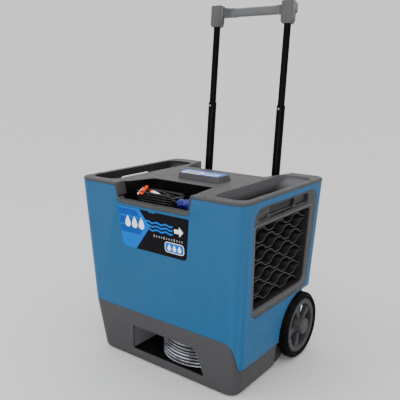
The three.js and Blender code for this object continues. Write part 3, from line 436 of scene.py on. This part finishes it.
def refined(node, materials=None, width=0.0, choose=None):
    """A copy of a CAD node with whole faces, softened edges and smooth shading, which stands for that node.

    Choose picks each face's material by the face's middle, in millimetres before the shift, and its normal.
    """
    slot = NODE_SLOTS[node]
    source = frame["nodes"][node]
    bm = bmesh.new()
    bm.from_mesh(source.data)
    bmesh.ops.remove_doubles(bm, verts=bm.verts, dist=MERGE_DISTANCE)
    bmesh.ops.dissolve_limit(bm, angle_limit=math.radians(FLAT_ANGLE), verts=bm.verts, edges=bm.edges)
    if width:
        soften_edges(bm, width)
    for face in bm.faces:
        face.material_index = 0
        if choose:
            middle = face.calc_center_median() / MM
            middle.y -= SHIFT_Y
            face.material_index = choose(middle, face.normal)
    piece = piece_from_bmesh("fine_" + node, bm, materials or [LOOKS[slot]], NODE_BODIES[node])
    even = piece.modifiers.new("even_shading", "WEIGHTED_NORMAL")
    even.keep_sharp = True
    even.weight = FACE_WEIGHT
    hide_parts(node)
    return piece


# ---- Cords, which come before the other pieces ----


def ease(t):
    t = min(max(t, 0), 1)
    return t * t * (3 - 2 * t)


def cord_curve(name, points, diameter, material, body):
    """A cord as one open curve through points in metres."""
    data = bpy.data.curves.new(name, "CURVE")
    data.dimensions = "3D"
    data.bevel_depth = diameter / 2
    data.bevel_resolution = 4
    data.use_fill_caps = True
    spline = data.splines.new("POLY")
    spline.points.add(len(points) - 1)
    for target, point in zip(spline.points, points):
        target.co = (*point, 1)
    spline.use_smooth = True
    data.materials.append(material)
    return place_piece(bpy.data.objects.new(name, data), body)


def smooth_path(knots, step):
    """A Catmull-Rom curve through knots, as points about a step apart."""
    points = []
    ends = [knots[0] * 2 - knots[1], *knots, knots[-1] * 2 - knots[-2]]
    for a, b, c, d in zip(ends, ends[1:], ends[2:], ends[3:]):
        count = max(2, round((c - b).length / step))
        for k in range(count):
            t = k / count
            points.append(0.5 * (
                2 * b + (c - a) * t + (2 * a - 5 * b + 4 * c - d) * t ** 2 + (3 * b - a - 3 * c + d) * t ** 3
            ))
    points.append(knots[-1])
    return points


POCKET_FLOOR_Z = 580
CORD_RADIUS = 4.5
HANK_X, HANK_Y, HANK_RUN, HANK_WIDTH = -30, -208, 100, 80
HANK_LANES, HANK_LAYERS, HANK_TURNS = 2, 8, 16
HANK_SWAY, HANK_LIFT = 1.3, 1.1  # how far the top layer's straight runs wander sideways and up
LANE_STEP = 2 * CORD_RADIUS
CLIMB_BULGE = 4.5  # how far a turn that climbs to the next layer stands aside from its lane
RUN_STEPS, BEND_STEPS = 12, 16  # points along a straight run and along a bend
REST_GAP = 0.5  # between the lowest turns and the pocket's floor
TOP_GAP = 0.3  # between the top turns and the end that crosses them
CORD_LINE_Y = HANK_Y - HANK_WIDTH / 2 - LANE_STEP * HANK_LANES / 2 + CORD_RADIUS
GLAND_TIP = (-117, CORD_LINE_Y, POCKET_FLOOR_Z + CORD_RADIUS + 2.5)
PLUG_X, PLUG_Y, PLUG_Z = 74, -243, 641


def winding_states(layers, lanes, turns):
    """The lane and layer of each turn of a winding, from the outermost lane in and then back out."""
    states = []
    for layer in range(layers):
        order = range(lanes) if layer % 2 == 0 else reversed(range(lanes))
        states += [(layer, lane) for lane in order]
    return states[:turns]


def power_cord_path():
    """From the gland, all turns of the hank, then over its top to the plug."""
    half = HANK_RUN / 2
    floor = POCKET_FLOOR_Z + REST_GAP + CORD_RADIUS
    states = winding_states(HANK_LAYERS, HANK_LANES, HANK_TURNS)

    def reach(lane):
        return HANK_WIDTH / 2 + LANE_STEP * ((HANK_LANES - 1) / 2 - lane)

    def height(layer):
        return floor + LANE_STEP * layer

    def sway(x, layer):
        """How the straight runs wander, more with every layer: sideways and up, in millimetres."""
        share = layer / HANK_LAYERS
        aside = HANK_SWAY * share * math.sin(x / 13 + 0.9 * layer)
        up = HANK_LIFT * share * math.sin(x / 17 + 2.1)
        return aside, up

    top_y, top_z = HANK_Y - reach(0), height(HANK_LAYERS) + TOP_GAP
    points = [mm(*GLAND_TIP), mm(-100, GLAND_TIP[1], GLAND_TIP[2] - 1.2)]
    for index, (layer, lane) in enumerate(states):
        w, z = reach(lane), height(layer)
        for k in range(1 if index == 0 else 0, RUN_STEPS):
            x = HANK_X - half + HANK_RUN * k / RUN_STEPS
            fade = math.sin(math.pi * k / RUN_STEPS) ** 0.5
            aside, up = sway(x, layer)
            points.append(mm(x, HANK_Y - w + aside * fade, z + up * fade))
        for k in range(BEND_STEPS):
            angle = -math.pi / 2 + math.pi * k / BEND_STEPS
            points.append(mm(HANK_X + half + w * math.cos(angle), HANK_Y + w * math.sin(angle), z))
        last = index + 1 == len(states)
        next_layer, next_lane = (layer, lane) if last else states[index + 1]
        next_w, next_z = reach(next_lane), height(next_layer)
        bulge = 0 if next_layer == layer else (CLIMB_BULGE if lane == 0 else -CLIMB_BULGE)
        for k in range(RUN_STEPS):
            t = k / RUN_STEPS
            side = w + (next_w - w) * ease(t) + bulge * math.sin(math.pi * t) ** 2
            points.append(mm(HANK_X + half - HANK_RUN * t, HANK_Y + side, z + (next_z - z) * ease(t)))
        end_w, end_z = (reach(0), top_z) if last else (next_w, next_z)
        for k in range(BEND_STEPS):
            angle = math.pi / 2 + math.pi * k / BEND_STEPS
            t = ease(k / BEND_STEPS)
            w_here = next_w + (end_w - next_w) * t
            z_here = next_z + (end_z - next_z) * t
            x = HANK_X - half + w_here * math.cos(angle)
            points.append(mm(x, HANK_Y + w_here * math.sin(angle), z_here))
    tail = smooth_path([
        mm(HANK_X - half, top_y, top_z), mm(-30, top_y, top_z), mm(12, top_y, top_z),
        mm(40, top_y, top_z + 0.3), mm(50, top_y, top_z - 1.5), mm(59, -249.5, PLUG_Z + 7),
        mm(66, PLUG_Y - 2, PLUG_Z + 1.5), mm(PLUG_X + 2, PLUG_Y, PLUG_Z),
    ], 0.006)
    return points + tail


HOSE_RADIUS = 6.35
HOSE_COIL_X, HOSE_COIL_Y, HOSE_COIL_RADIUS = 70, -85, 137
HOSE_FLOOR_Z = 40.5
HOSE_LANES, HOSE_LAYERS, HOSE_TURNS = 2, 7, 14
HOSE_START_TURN, HOSE_START_RADIUS, HOSE_START_Z = 125, 168, 52
HOSE_MERGE_TURN = 215
CLIMB_TURNS = (60, 125)  # the part of each turn, behind the coil, where the hose changes lane or layer
TURN_STEP = 5  # degrees between two points
HOSE_SWAY = 1.5  # how far single turns wander, in millimetres
HOSE_SAG = 3.2  # how far the upper layers sag and rise together


def drain_hose_path():
    """From the elbow behind the coil, on to the coil's outermost turn, then 14 turns of 2 lanes."""
    states = winding_states(HOSE_LAYERS, HOSE_LANES, HOSE_TURNS)

    def reach(lane):
        return HOSE_COIL_RADIUS + HOSE_RADIUS * (1 - 2 * lane)

    def height(layer):
        return HOSE_FLOOR_Z + HOSE_RADIUS + 2 * HOSE_RADIUS * layer

    def at(turn, radius, z):
        angle = math.radians(turn)
        return mm(HOSE_COIL_X + radius * math.cos(angle), HOSE_COIL_Y + radius * math.sin(angle), z)

    points = []
    for turn in range(HOSE_START_TURN, HOSE_MERGE_TURN, TURN_STEP):
        along = (turn - HOSE_START_TURN) / (HOSE_MERGE_TURN - HOSE_START_TURN)
        radius = HOSE_START_RADIUS + (reach(0) - HOSE_START_RADIUS) * ease(along)
        z = HOSE_START_Z + (height(0) - HOSE_START_Z) * ease(2.5 * along)
        points.append(at(turn, radius, z))
    low, high = CLIMB_TURNS
    for index, (layer, lane) in enumerate(states):
        first = HOSE_MERGE_TURN if index == 0 else high
        w, z = reach(lane), height(layer)
        for turn in range(first, 360 + low, TURN_STEP):
            fade = math.sin(math.pi * (turn - first) / (360 + low - first)) ** 0.5 * layer / HOSE_LAYERS
            angle = math.radians(turn)
            aside = HOSE_SWAY * math.sin(4 * angle + 1.7 * index)
            up = HOSE_SWAY * math.sin(3 * angle + 2.6 * index) - HOSE_SAG * math.cos(5 * angle + 0.6)
            points.append(at(turn, w + fade * aside, z + fade * up))
        if index + 1 == len(states):
            break
        next_layer, next_lane = states[index + 1]
        bulge = 0 if next_layer == layer else (HOSE_RADIUS if lane == 0 else -HOSE_RADIUS)
        for turn in range(low, high, TURN_STEP):
            t = (turn - low) / (high - low)
            side = w + (reach(next_lane) - w) * ease(t) + bulge * math.sin(math.pi * t) ** 2
            points.append(at(turn, side, z + (height(next_layer) - z) * ease(t)))
    return points


PLUG_RINGS = [  # distance along the plug, then its half width and half height, in millimetres
    (0, 6, 6), (1.5, 6.8, 6.8), (3, 6.2, 6.2), (4.5, 7.4, 7.4), (6, 6.8, 6.8), (8, 11.5, 10.5),
    (11, 15.5, 14), (15, 17, 15.6), (20, 16.2, 15), (24, 13, 12), (27, 11.4, 10.6), (30, 12.6, 11.8),
    (34, 15.8, 14.6), (39, 16.8, 15.8), (43, 15, 14), (46, 14.4, 14), (49, 17.8, 18.6), (52, 19, 20.6),
    (58, 19, 20.6), (60.5, 18, 19.4), (62, 16.4, 17.4),
]
PLUG_SIDES = 32
PLUG_NECK = 6  # the length of the ribbed neck
PLUG_LUMP = 0.06  # how far the moulded body swells between its grip hollows, as a share of its radius
PLUG_HOLLOWS = 5
PLUG_TWIST = 0.09  # how far the hollows turn about the plug, in radians for each millimetre
BLADE_SPREAD, BLADE_START, BLADE_END = 6.2, 61, 73
BLADE_HALF_THICK, BLADE_HALF_WIDE = 0.8, 3.2


def make_plug():
    """The plug: a ribbed neck, a waisted translucent body with grip hollows, and two flat blades."""
    bm = bmesh.new()
    loops = []
    for x, half_width, half_height in PLUG_RINGS:
        loop = []
        body = ease((x - PLUG_NECK) / PLUG_NECK)
        for k in range(PLUG_SIDES):
            angle = 2 * math.pi * k / PLUG_SIDES
            c, s = math.cos(angle), math.sin(angle)
            lump = 1 + body * PLUG_LUMP * math.cos(PLUG_HOLLOWS * angle + PLUG_TWIST * x)
            y, z = PLUG_Y + half_width * c * lump, PLUG_Z + half_height * s * lump
            loop.append(bm.verts.new(mm(PLUG_X + x, y, z)))
        loops.append(loop)
    for a, b in zip(loops, loops[1:]):
        for k in range(PLUG_SIDES):
            bm.faces.new((a[k], a[(k + 1) % PLUG_SIDES], b[(k + 1) % PLUG_SIDES], b[k]))
    bm.faces.new(list(reversed(loops[0])))
    bm.faces.new(loops[-1])
    for y in (-BLADE_SPREAD, BLADE_SPREAD):
        low = (PLUG_X + BLADE_START, PLUG_Y + y - BLADE_HALF_THICK, PLUG_Z - BLADE_HALF_WIDE)
        high = (PLUG_X + BLADE_END, PLUG_Y + y + BLADE_HALF_THICK, PLUG_Z + BLADE_HALF_WIDE)
        add_block(bm, low, high, 1, 0.6)
    bmesh.ops.recalc_face_normals(bm, faces=bm.faces)
    plug = piece_from_bmesh("plug", bm, [LOOKS["blue_plug"], LOOKS["steel"]], "cabinet", 40)
    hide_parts("cord_plug")
    return plug


def add_block(bm, low, high, material=0, bevel=0.5):
    """Adds a box with softened edges, from its lowest to its highest corner."""
    made = bmesh.ops.create_cube(bm, size=1)
    verts = made["verts"]
    centre = [(a + b) / 2 for a, b in zip(low, high)]
    size = [b - a for a, b in zip(low, high)]
    for v in verts:
        v.co = mm(*(c + s * q for c, s, q in zip(centre, size, v.co)))
    edges = list({e for v in verts for e in v.link_edges})
    faces = list({f for v in verts for f in v.link_faces})
    for f in faces:
        f.material_index = material
    if bevel:
        made = bmesh.ops.bevel(
            bm, geom=edges, offset=bevel * MM, segments=2, profile=0.5, affect="EDGES", clamp_overlap=True)
        for f in made["faces"]:
            f.material_index = material


power_cord = cord_curve(
    "power_cord", power_cord_path(), 2 * CORD_RADIUS * MM, LOOKS["cord_jacket"], "cabinet")
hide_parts("power_cord_coil", "power_cord_end")
plug = make_plug()

drain_hose = cord_curve(
    "drain_hose", drain_hose_path(), 2 * HOSE_RADIUS * MM, LOOKS["clear_hose"], "cabinet")
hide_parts("drain_hose_coil", "drain_hose_end")
tuple(drain_hose_path()[0])


# ---- Carried-over CAD shapes ----

SOFT_EDGES = {
    "housing_shell": 1.2, "base_tray": 1.5, "top_cover": 1.5, "hose_bin": 0.8,
    "inlet_bezel": 1.0, "outlet_bezel": 1.0, "inlet_grille": 0.7, "control_pod": 1.0,
    "crossbar": 1.5, "grip_fitting_left": 2.0, "grip_fitting_right": 2.0,
    "tyre_left": 1.0, "tyre_right": 1.0, "wheel_left": 1.2, "wheel_right": 1.2,
    "hub_cap_left": 1.5, "hub_cap_right": 1.5,
}

DECK_Z = 685
DECK_SKIN = 1.5  # faces this close to the deck's top belong to it
POCKET_HALF_X, POCKET_Y = 163, (-258, -130)
RECESS_X, RECESS_Y = (205, 345), (-252, 230)
WELL_HALF_X, WELL_Y = 180, (130, 240)
BIN_WALL_X = -60
UPRIGHT = 0.5  # a face whose normal rises or falls less than this is upright


def cover_material(middle, _normal):
    """0 on the cover; 1 in the cord pocket, in painted shade; 2 in the right recess and the well, in painted
    light with painted shade towards the bottom; 3 in the left recess, in painted shade.
    """
    if middle.z > DECK_Z - DECK_SKIN:
        return 0
    if abs(middle.x) < POCKET_HALF_X and POCKET_Y[0] < middle.y < POCKET_Y[1]:
        return 1
    if RECESS_X[0] < abs(middle.x) < RECESS_X[1] and RECESS_Y[0] < middle.y < RECESS_Y[1]:
        return 2 if middle.x > 0 else 3
    return 2 if WELL_Y[0] < middle.y < WELL_Y[1] and abs(middle.x) < WELL_HALF_X else 0


def bin_material(middle, normal):
    """0 in the bin, in painted shade; 1 on its upright end wall, in painted light."""
    return 1 if middle.x < BIN_WALL_X and abs(normal.z) < UPRIGHT else 0


SPECIAL = {
    "top_cover": ([LOOKS["grey_plastic"], PAINTED_SHADE_BLACK, RECESS_PAINTED_LIGHT_AND_SHADE, RECESS_PAINTED_SHADE], cover_material),
    "hose_bin": ([BIN_PAINTED_SHADE, BIN_PAINTED_LIGHT], bin_material),
    "inlet_bezel": ([BEZEL_GREY], None),
    "outlet_bezel": ([BEZEL_GREY], None),
    "inlet_grille": ([GRILLE_GREY], None),
}
for side in ("left", "right"):
    SPECIAL["wheel_" + side] = ([WHEEL_GREY], None)
    SPECIAL["hub_cap_" + side] = ([WHEEL_GREY], None)
for node in frame["nodes"]:
    if frame["nodes"][node].hide_render:
        continue
    materials, choose = SPECIAL.get(node, (None, None))
    refined(node, materials, SOFT_EDGES.get(node, 0), choose)


# ---- Thin films: the front label and the pod's label ----

RIM_HALF_WIDTH, RIM_HALF_DEPTH, RIM_Z, TAPER = 361, 286, 675, 0.05
POD_TOP_Z = 704


def on_front(x, z, lift):
    """A point over the cabinet's leaning front, lifted off it."""
    return mm(x, -RIM_HALF_DEPTH + (RIM_Z - z) * TAPER - lift, z)


def on_pod(x, y, lift):
    """A point over the pod's top."""
    return mm(x, y, POD_TOP_Z + lift)


def rounded(corners, steps=6):
    """An outline from corners given as (u, v), or as (u, v, radius) for a rounded one."""
    outline = []
    for index, (u, v, *radius) in enumerate(corners):
        here = Vector((u, v))
        if not radius:
            outline.append(here)
            continue
        before = Vector(corners[index - 1][:2]) - here
        after = Vector(corners[(index + 1) % len(corners)][:2]) - here
        reach = radius[0] / math.tan(before.angle(after) / 2)
        start, end = here + before.normalized() * reach, here + after.normalized() * reach
        for k in range(steps + 1):
            t = k / steps
            outline.append(start * (1 - t) ** 2 + here * 2 * t * (1 - t) + end * t ** 2)
    return outline


def add_film(bm, outline, place, lift, thick, material):
    """A thin film over a surface, from a lift above it and a thickness up."""
    low = [bm.verts.new(place(u, v, lift)) for u, v in outline]
    high = [bm.verts.new(place(u, v, lift + thick)) for u, v in outline]
    faces = [bm.faces.new(high), bm.faces.new(list(reversed(low)))]
    for k in range(len(outline)):
        after = (k + 1) % len(outline)
        faces.append(bm.faces.new((low[k], low[after], high[after], high[k])))
    for face in faces:
        face.material_index = material


DROP_SIDES = 24
WAVE_STEPS = 10  # for each whole wave


def drop(u, v, width, height):
    """A water drop, its tip up."""
    outline = []
    for k in range(DROP_SIDES):
        angle = 2 * math.pi * k / DROP_SIDES
        side = 0.65 * width * math.sin(angle) * abs(math.sin(angle / 2)) ** 1.2
        outline.append((u + side, v + height / 2 * math.cos(angle)))
    return outline


def wave_bar(u0, u1, v, height, thick, count):
    """A wavy bar with a number of whole waves."""
    steps = WAVE_STEPS * count
    upper, lower = [], []
    for k in range(steps + 1):
        u = u0 + (u1 - u0) * k / steps
        rise = height / 2 * math.sin(2 * math.pi * count * k / steps)
        upper.append((u, v + rise + thick / 2))
        lower.append((u, v + rise - thick / 2))
    return upper + list(reversed(lower))


def arrow(u0, u1, v, shaft, head):
    """An arrow towards larger u."""
    neck = u1 - head
    return [
        (u0, v - shaft), (neck, v - shaft), (neck, v - head), (u1, v),
        (neck, v + head), (neck, v + shaft), (u0, v + shaft),
    ]


def panel(u0, u1, v0, v1, radius=None):
    """A rectangle, with round corners if it has a radius."""
    corners = [(u0, v0), (u1, v0), (u1, v1), (u0, v1)]
    return rounded([(*corner, radius) for corner in corners]) if radius else corners


FILM = 0.25
INK = 0.06
LABEL_LIFT = 0.02
FRONT_LABEL = [
    (-164.6, 603.8, 1), (-21, 603.8), (-20, 599), (9, 599), (10, 603.8),
    (153.3, 603.4, 4), (139, 458.7, 16), (-146, 458.7, 18),
]
FRONT_BLUE = [(-164.6, 603.8, 1), (-62.4, 603.8), (-16, 548.6, 2), (-84, 458.7), (-146, 458.7, 18)]
CHEVRON_TIP = (-36.8, 548.6)
CHEVRON_SLOPES = (0.8406, -0.7564)  # how the inner line leans above and below its tip
DEEP_BANDS = [(575.5, 598.8), (542.5, 570), (512.3, 537.5)]
LABEL_LEFT = (-164.6, 603.8, 0.1328)  # the left edge's upper end and lean
BAND_INSET = 0.4
SIGN_Z = 554  # the middle line of the drops, the waves and the arrow
SIGN_DROPS, SIGN_DROP_SIZE = (-119, -87, -55), (26, 42)
WAVES_X, WAVE_PITCH, WAVE_HEIGHT, WAVE_THICK, WAVE_COUNT = (-34, 84), 13, 5, 6.5, 3
ARROW_X, ARROW_SHAFT, ARROW_HEAD = (91, 129), 7, 17
DASH_STEP, DASH_WIDTH, DASH_Z, DASH_COUNT = 11, 4, 521, 12
LONG_DASH_HALF, SHORT_DASH_HALF = 5, 3  # every fourth dash is a long one
BADGE = (48, 130, 474, 511)
BADGE_RADIUS, BADGE_EDGE = 12, 2
BADGE_DROPS, BADGE_DROP_SIZE = (67, 89, 111), (15, 23)


def chevron_line(z):
    tip_x, tip_z = CHEVRON_TIP
    return tip_x + (tip_z - z) * CHEVRON_SLOPES[0 if z > tip_z else 1]


def left_edge(z):
    x, top, lean = LABEL_LEFT
    return x + (top - z) * lean


def make_front_label():
    """A dark plaque with a bright blue end, deep blue bands and plain drops, waves and an arrow."""
    bm = bmesh.new()
    add_film(bm, rounded(FRONT_LABEL), on_front, LABEL_LIFT, FILM, 0)
    lift = LABEL_LIFT + FILM
    add_film(bm, rounded(FRONT_BLUE), on_front, lift, INK, 1)
    for low, high in DEEP_BANDS:
        outline = [(left_edge(high) + BAND_INSET, high), (chevron_line(high), high)]
        if low < CHEVRON_TIP[1] < high:
            outline.append(CHEVRON_TIP)
        outline += [(chevron_line(low), low), (left_edge(low) + BAND_INSET, low)]
        add_film(bm, outline, on_front, lift + INK, INK, 2)
    top = lift + 2 * INK
    for u in SIGN_DROPS:
        add_film(bm, drop(u, SIGN_Z, *SIGN_DROP_SIZE), on_front, top, INK, 3)
    for z in (SIGN_Z - WAVE_PITCH, SIGN_Z, SIGN_Z + WAVE_PITCH):
        wave = wave_bar(*WAVES_X, z, WAVE_HEIGHT, WAVE_THICK, WAVE_COUNT)
        add_film(bm, wave, on_front, top, INK, 1)
    add_film(bm, arrow(*ARROW_X, SIGN_Z, ARROW_SHAFT, ARROW_HEAD), on_front, top, INK, 3)
    for k in range(DASH_COUNT):
        half = LONG_DASH_HALF if k % 4 == 0 else SHORT_DASH_HALF
        dash = panel(k * DASH_STEP, k * DASH_STEP + DASH_WIDTH, DASH_Z - half, DASH_Z + half)
        add_film(bm, dash, on_front, top, INK, 4)
    u0, u1, v0, v1 = BADGE
    add_film(bm, panel(*BADGE, BADGE_RADIUS), on_front, top, INK, 3)
    edge = BADGE_EDGE
    inner = panel(u0 + edge, u1 - edge, v0 + edge, v1 - edge, BADGE_RADIUS - edge)
    add_film(bm, inner, on_front, top + INK, INK, 1)
    for u in BADGE_DROPS:
        badge_drop = drop(u, (v0 + v1) / 2, *BADGE_DROP_SIZE)
        add_film(bm, badge_drop, on_front, top + 2 * INK, INK, 3)
    materials = [LABEL_DARK, LABEL_BLUE, LABEL_DEEP_BLUE, LABEL_WHITE, LABEL_GREY]
    piece_from_bmesh("front_label", bm, materials, "cabinet")


def on_inlet_side(y, z, lift):
    """A point over the cabinet's leaning inlet side, lifted off it."""
    return mm(RIM_HALF_WIDTH - (RIM_Z - z) * TAPER + lift, y, z)


BEAD_SECTION = 7
BEAD_RISE = 0.8  # its height as a share of its half width
BEAD_SINK = 0.1


def add_bead(bm, outline, place, radius, material):
    """A half-round bead that runs round a closed outline on a surface."""
    count = len(outline)
    rings = []
    for k, here in enumerate(outline):
        along = (outline[(k + 1) % count] - outline[k - 1]).normalized()
        across = Vector((along.y, -along.x))
        ring = []
        for j in range(BEAD_SECTION):
            angle = math.pi * j / (BEAD_SECTION - 1)
            spot = here + across * radius * math.cos(angle)
            rise = radius * BEAD_RISE * math.sin(angle) - BEAD_SINK
            ring.append(bm.verts.new(place(spot.x, spot.y, rise)))
        rings.append(ring)
    for k, ring in enumerate(rings):
        after = rings[(k + 1) % count]
        for j in range(BEAD_SECTION):
            beside = (j + 1) % BEAD_SECTION
            face = bm.faces.new((ring[j], ring[beside], after[beside], after[j]))
            face.material_index = material


def make_bezel_beads():
    """Two raised beads round the inlet's opening."""
    bm = bmesh.new()
    for grown, radius in ((5, 1.6), (14, 2.0)):
        left = min(grown, 3)  # the frame is narrow at its front and top, so both beads meet there
        corners = [
            (-189 - left, 306 - grown, 14 + left), (165 + grown, 306 - grown, 30 + grown),
            (170 + grown, 596 + left, 14), (-210 - left, 596 + left, 10),
        ]
        add_bead(bm, rounded(corners, 10), on_inlet_side, radius, 0)
    bmesh.ops.recalc_face_normals(bm, faces=bm.faces)
    piece_from_bmesh("inlet_beads", bm, [BEAD_GREY], "cabinet", degrees=60)


KEY_XS, KEY_Y = (32, 52, 72, 92), -42
KEY_RING, KEY_PAD = 10, 9
POD_LABEL = [(-52, -65, 3), (110, -65, 3), (110, 0, 3), (-78, 0, 3), (-78, -28, 6)]
POD_FILM = 0.12
DISPLAY_PANEL = (-56, 24, -61, -23)
KEY_LINE = (32, 98, -58, -55)
KEY_MARK_Y, KEY_MARK_SIZE = -25, (4, 6)
POD_WAVE_X, POD_WAVE_Y, POD_WAVE_HEIGHT, POD_WAVE_THICK, POD_WAVE_COUNT = (-68, 100), -11, 4, 3, 7


def disc(u, v, radius, sides=28):
    turns = [2 * math.pi * k / sides for k in range(sides)]
    return [(u + radius * math.cos(turn), v + radius * math.sin(turn)) for turn in turns]


def make_pod_label():
    """The pod's membrane: a white panel round the display, a ring round each key and small marks."""
    bm = bmesh.new()
    add_film(bm, rounded(POD_LABEL), on_pod, LABEL_LIFT, POD_FILM, 1)
    top = LABEL_LIFT + POD_FILM
    add_film(bm, panel(*DISPLAY_PANEL, 3), on_pod, top, INK, 3)
    for x in KEY_XS:
        add_film(bm, disc(x, KEY_Y, KEY_RING), on_pod, top, INK, 3)
        add_film(bm, disc(x, KEY_Y, KEY_PAD), on_pod, top + INK, INK, 2)
        add_film(bm, drop(x, KEY_MARK_Y, *KEY_MARK_SIZE), on_pod, top, INK, 3)
    wave = wave_bar(*POD_WAVE_X, POD_WAVE_Y, POD_WAVE_HEIGHT, POD_WAVE_THICK, POD_WAVE_COUNT)
    add_film(bm, wave, on_pod, top, INK, 3)
    add_film(bm, panel(*KEY_LINE, 1), on_pod, top, INK, 3)
    piece_from_bmesh("pod_label", bm, [LABEL_DARK, LABEL_BLUE, LABEL_DEEP_BLUE, LABEL_WHITE], "cabinet")


# ---- The hank's strap and tag, and the cover's screws ----

STRAP_EDGES = (  # the woven end over the hank, as its left and its right edge
    [(-86, -259.6, 651), (-83.7, -258, 657), (-80, -250, 666), (-74, -244, 674), (-67, -240, 681)],
    [(-66, -260, 652), (-64, -258.4, 657), (-63, -250, 664.5), (-60, -245, 671), (-55, -240, 679)],
)
HEM_EDGES = (
    [(-94, -257.5, 648), (-91, -256, 655), (-86, -250.5, 664), (-79, -245, 672)],
    [(-88, -259.2, 649), (-86, -258.2, 656), (-82, -250.6, 666.4), (-76, -244.6, 673.3)],
)
TAG_EDGES = (
    [(-46, -249, 663.4), (-38, -250, 663), (-24, -251.5, 662.6), (-8, -253, 662.2)],
    [(-38, -244, 670), (-26, -245.5, 668.4), (-8, -248, 665), (8, -251.5, 662.5)],
)


SHEET_STEP = 0.003
SHEET_COLUMNS = 4


def add_sheet(bm, edges, thick, materials):
    """A thin sheet between two edges; materials maps a share of its length to a material."""
    left, right = (smooth_path([mm(*knot) for knot in edge], SHEET_STEP) for edge in edges)
    count = max(len(left), len(right))
    rows = []
    for k in range(count):
        pair = [edge[round(k * (len(edge) - 1) / (count - 1))] for edge in (left, right)]
        columns = range(SHEET_COLUMNS + 1)
        rows.append([bm.verts.new(pair[0].lerp(pair[1], j / SHEET_COLUMNS)) for j in columns])
    faces = []
    for k, (a, b) in enumerate(zip(rows, rows[1:])):
        for j in range(SHEET_COLUMNS):
            face = bm.faces.new((a[j], a[j + 1], b[j + 1], b[j]))
            face.material_index = materials(k / (count - 1))
            faces.append(face)
    bmesh.ops.recalc_face_normals(bm, faces=faces)
    bmesh.ops.solidify(bm, geom=faces, thickness=thick * MM)


def make_strap():
    """The orange strap that ties the hank, with its white hem, and a white tag with an orange end."""
    bm = bmesh.new()
    add_sheet(bm, STRAP_EDGES, 1.4, lambda share: 0)
    add_sheet(bm, HEM_EDGES, 0.9, lambda share: 1)
    piece_from_bmesh("hank_strap", bm, [ORANGE, TAG_WHITE], "cabinet")
    bm = bmesh.new()
    add_sheet(bm, TAG_EDGES, 0.5, lambda share: 1 if share < 0.2 else 0)
    piece_from_bmesh("hank_tag", bm, [TAG_WHITE, ORANGE], "cabinet")


SCREWS = [
    (206, 89), (351, 176), (353, -192), (212, -277),
    (-200, -277), (-206, 89), (-351, 176), (-353, -192),
]
SCREW_RINGS = [(5.2, 0.02), (5.2, 0.5), (4.6, 1.1), (3.4, 1.6), (1.8, 1.8)]
SCREW_SIDES = 20
SLOT_HALF, SLOT_REACH, SLOT_FOOT = 0.55, 3, 1


def make_screws():
    """Round heads with a cross cut, drawn as near-black blocks of painted shade."""
    bm = bmesh.new()
    for x, y in SCREWS:
        loops = []
        for radius, lift in SCREW_RINGS:
            ring = disc(0, 0, radius, SCREW_SIDES)
            loops.append([bm.verts.new(mm(x + u, y + v, DECK_Z + lift)) for u, v in ring])
        for a, b in zip(loops, loops[1:]):
            for k in range(SCREW_SIDES):
                after = (k + 1) % SCREW_SIDES
                bm.faces.new((a[k], a[after], b[after], b[k]))
        bm.faces.new(loops[-1])
        bm.faces.new(list(reversed(loops[0])))
        # each cut is a near-black block: painted shade in place of a slot
        for u, v, top in ((SLOT_REACH, SLOT_HALF, 1.82), (SLOT_HALF, SLOT_REACH, 1.83)):
            add_block(bm, (x - u, y - v, DECK_Z + SLOT_FOOT), (x + u, y + v, DECK_Z + top), 1, 0)
    piece_from_bmesh("cover_screws", bm, [SCREW_BLACK, PAINTED_SHADE_BLACK], "cabinet")


make_front_label()
make_bezel_beads()
make_pod_label()
make_strap()
make_screws()


# ---- Floor and light ----

WORLD_STRENGTH = 1.0
ZENITH = 2.2  # how much brighter the world is overhead than at the horizon
HORIZON_TOP = 0.15  # the world brightens above this height
FLOOR_ALBEDO = 0.58  # makes the far floor as bright as the horizon
FLOOR_SIZE = 12
LIGHT_TARGET = (0, 0, 0.4)


def make_floor():
    bm = bmesh.new()
    bmesh.ops.create_grid(bm, x_segments=1, y_segments=1, size=FLOOR_SIZE)
    mesh = bpy.data.meshes.new("floor")
    bm.to_mesh(mesh)
    bm.free()
    look = Look("floor", (FLOOR_ALBEDO,) * 3, 0.7, Specular_IOR_Level=0)
    mesh.materials.append(look.material)
    floor = bpy.data.objects.new("floor", mesh)
    bpy.context.scene.collection.objects.link(floor)


def area_light(name, place, size, power):
    data = bpy.data.lights.new(name, "AREA")
    data.shape = "RECTANGLE"
    data.size, data.size_y = size
    data.energy = power
    light = bpy.data.objects.new(name, data)
    light.location = place
    light.rotation_euler = (Vector(LIGHT_TARGET) - Vector(place)).to_track_quat("-Z", "Y").to_euler()
    bpy.context.scene.collection.objects.link(light)


def make_light():
    world = bpy.data.worlds.new("studio")
    world.use_nodes = True
    nodes, links = world.node_tree.nodes, world.node_tree.links
    background = nodes["Background"]
    background.inputs["Color"].default_value = (1, 1, 1, 1)
    place = nodes.new("ShaderNodeTexCoord")
    height = nodes.new("ShaderNodeSeparateXYZ")
    strength = nodes.new("ShaderNodeMapRange")
    strength.inputs["From Min"].default_value = HORIZON_TOP
    strength.inputs["To Min"].default_value = WORLD_STRENGTH
    strength.inputs["To Max"].default_value = WORLD_STRENGTH * ZENITH
    links.new(place.outputs["Generated"], height.inputs[0])
    links.new(height.outputs["Z"], strength.inputs["Value"])
    links.new(strength.outputs["Result"], background.inputs["Strength"])
    bpy.context.scene.world = world
    area_light("key", (-1.4, -2.6, 3.4), (1.6, 1.6), 40)
    area_light("fill", (1.9, -3.2, 1.1), (1.8, 1.2), 45)


make_floor()
make_light()
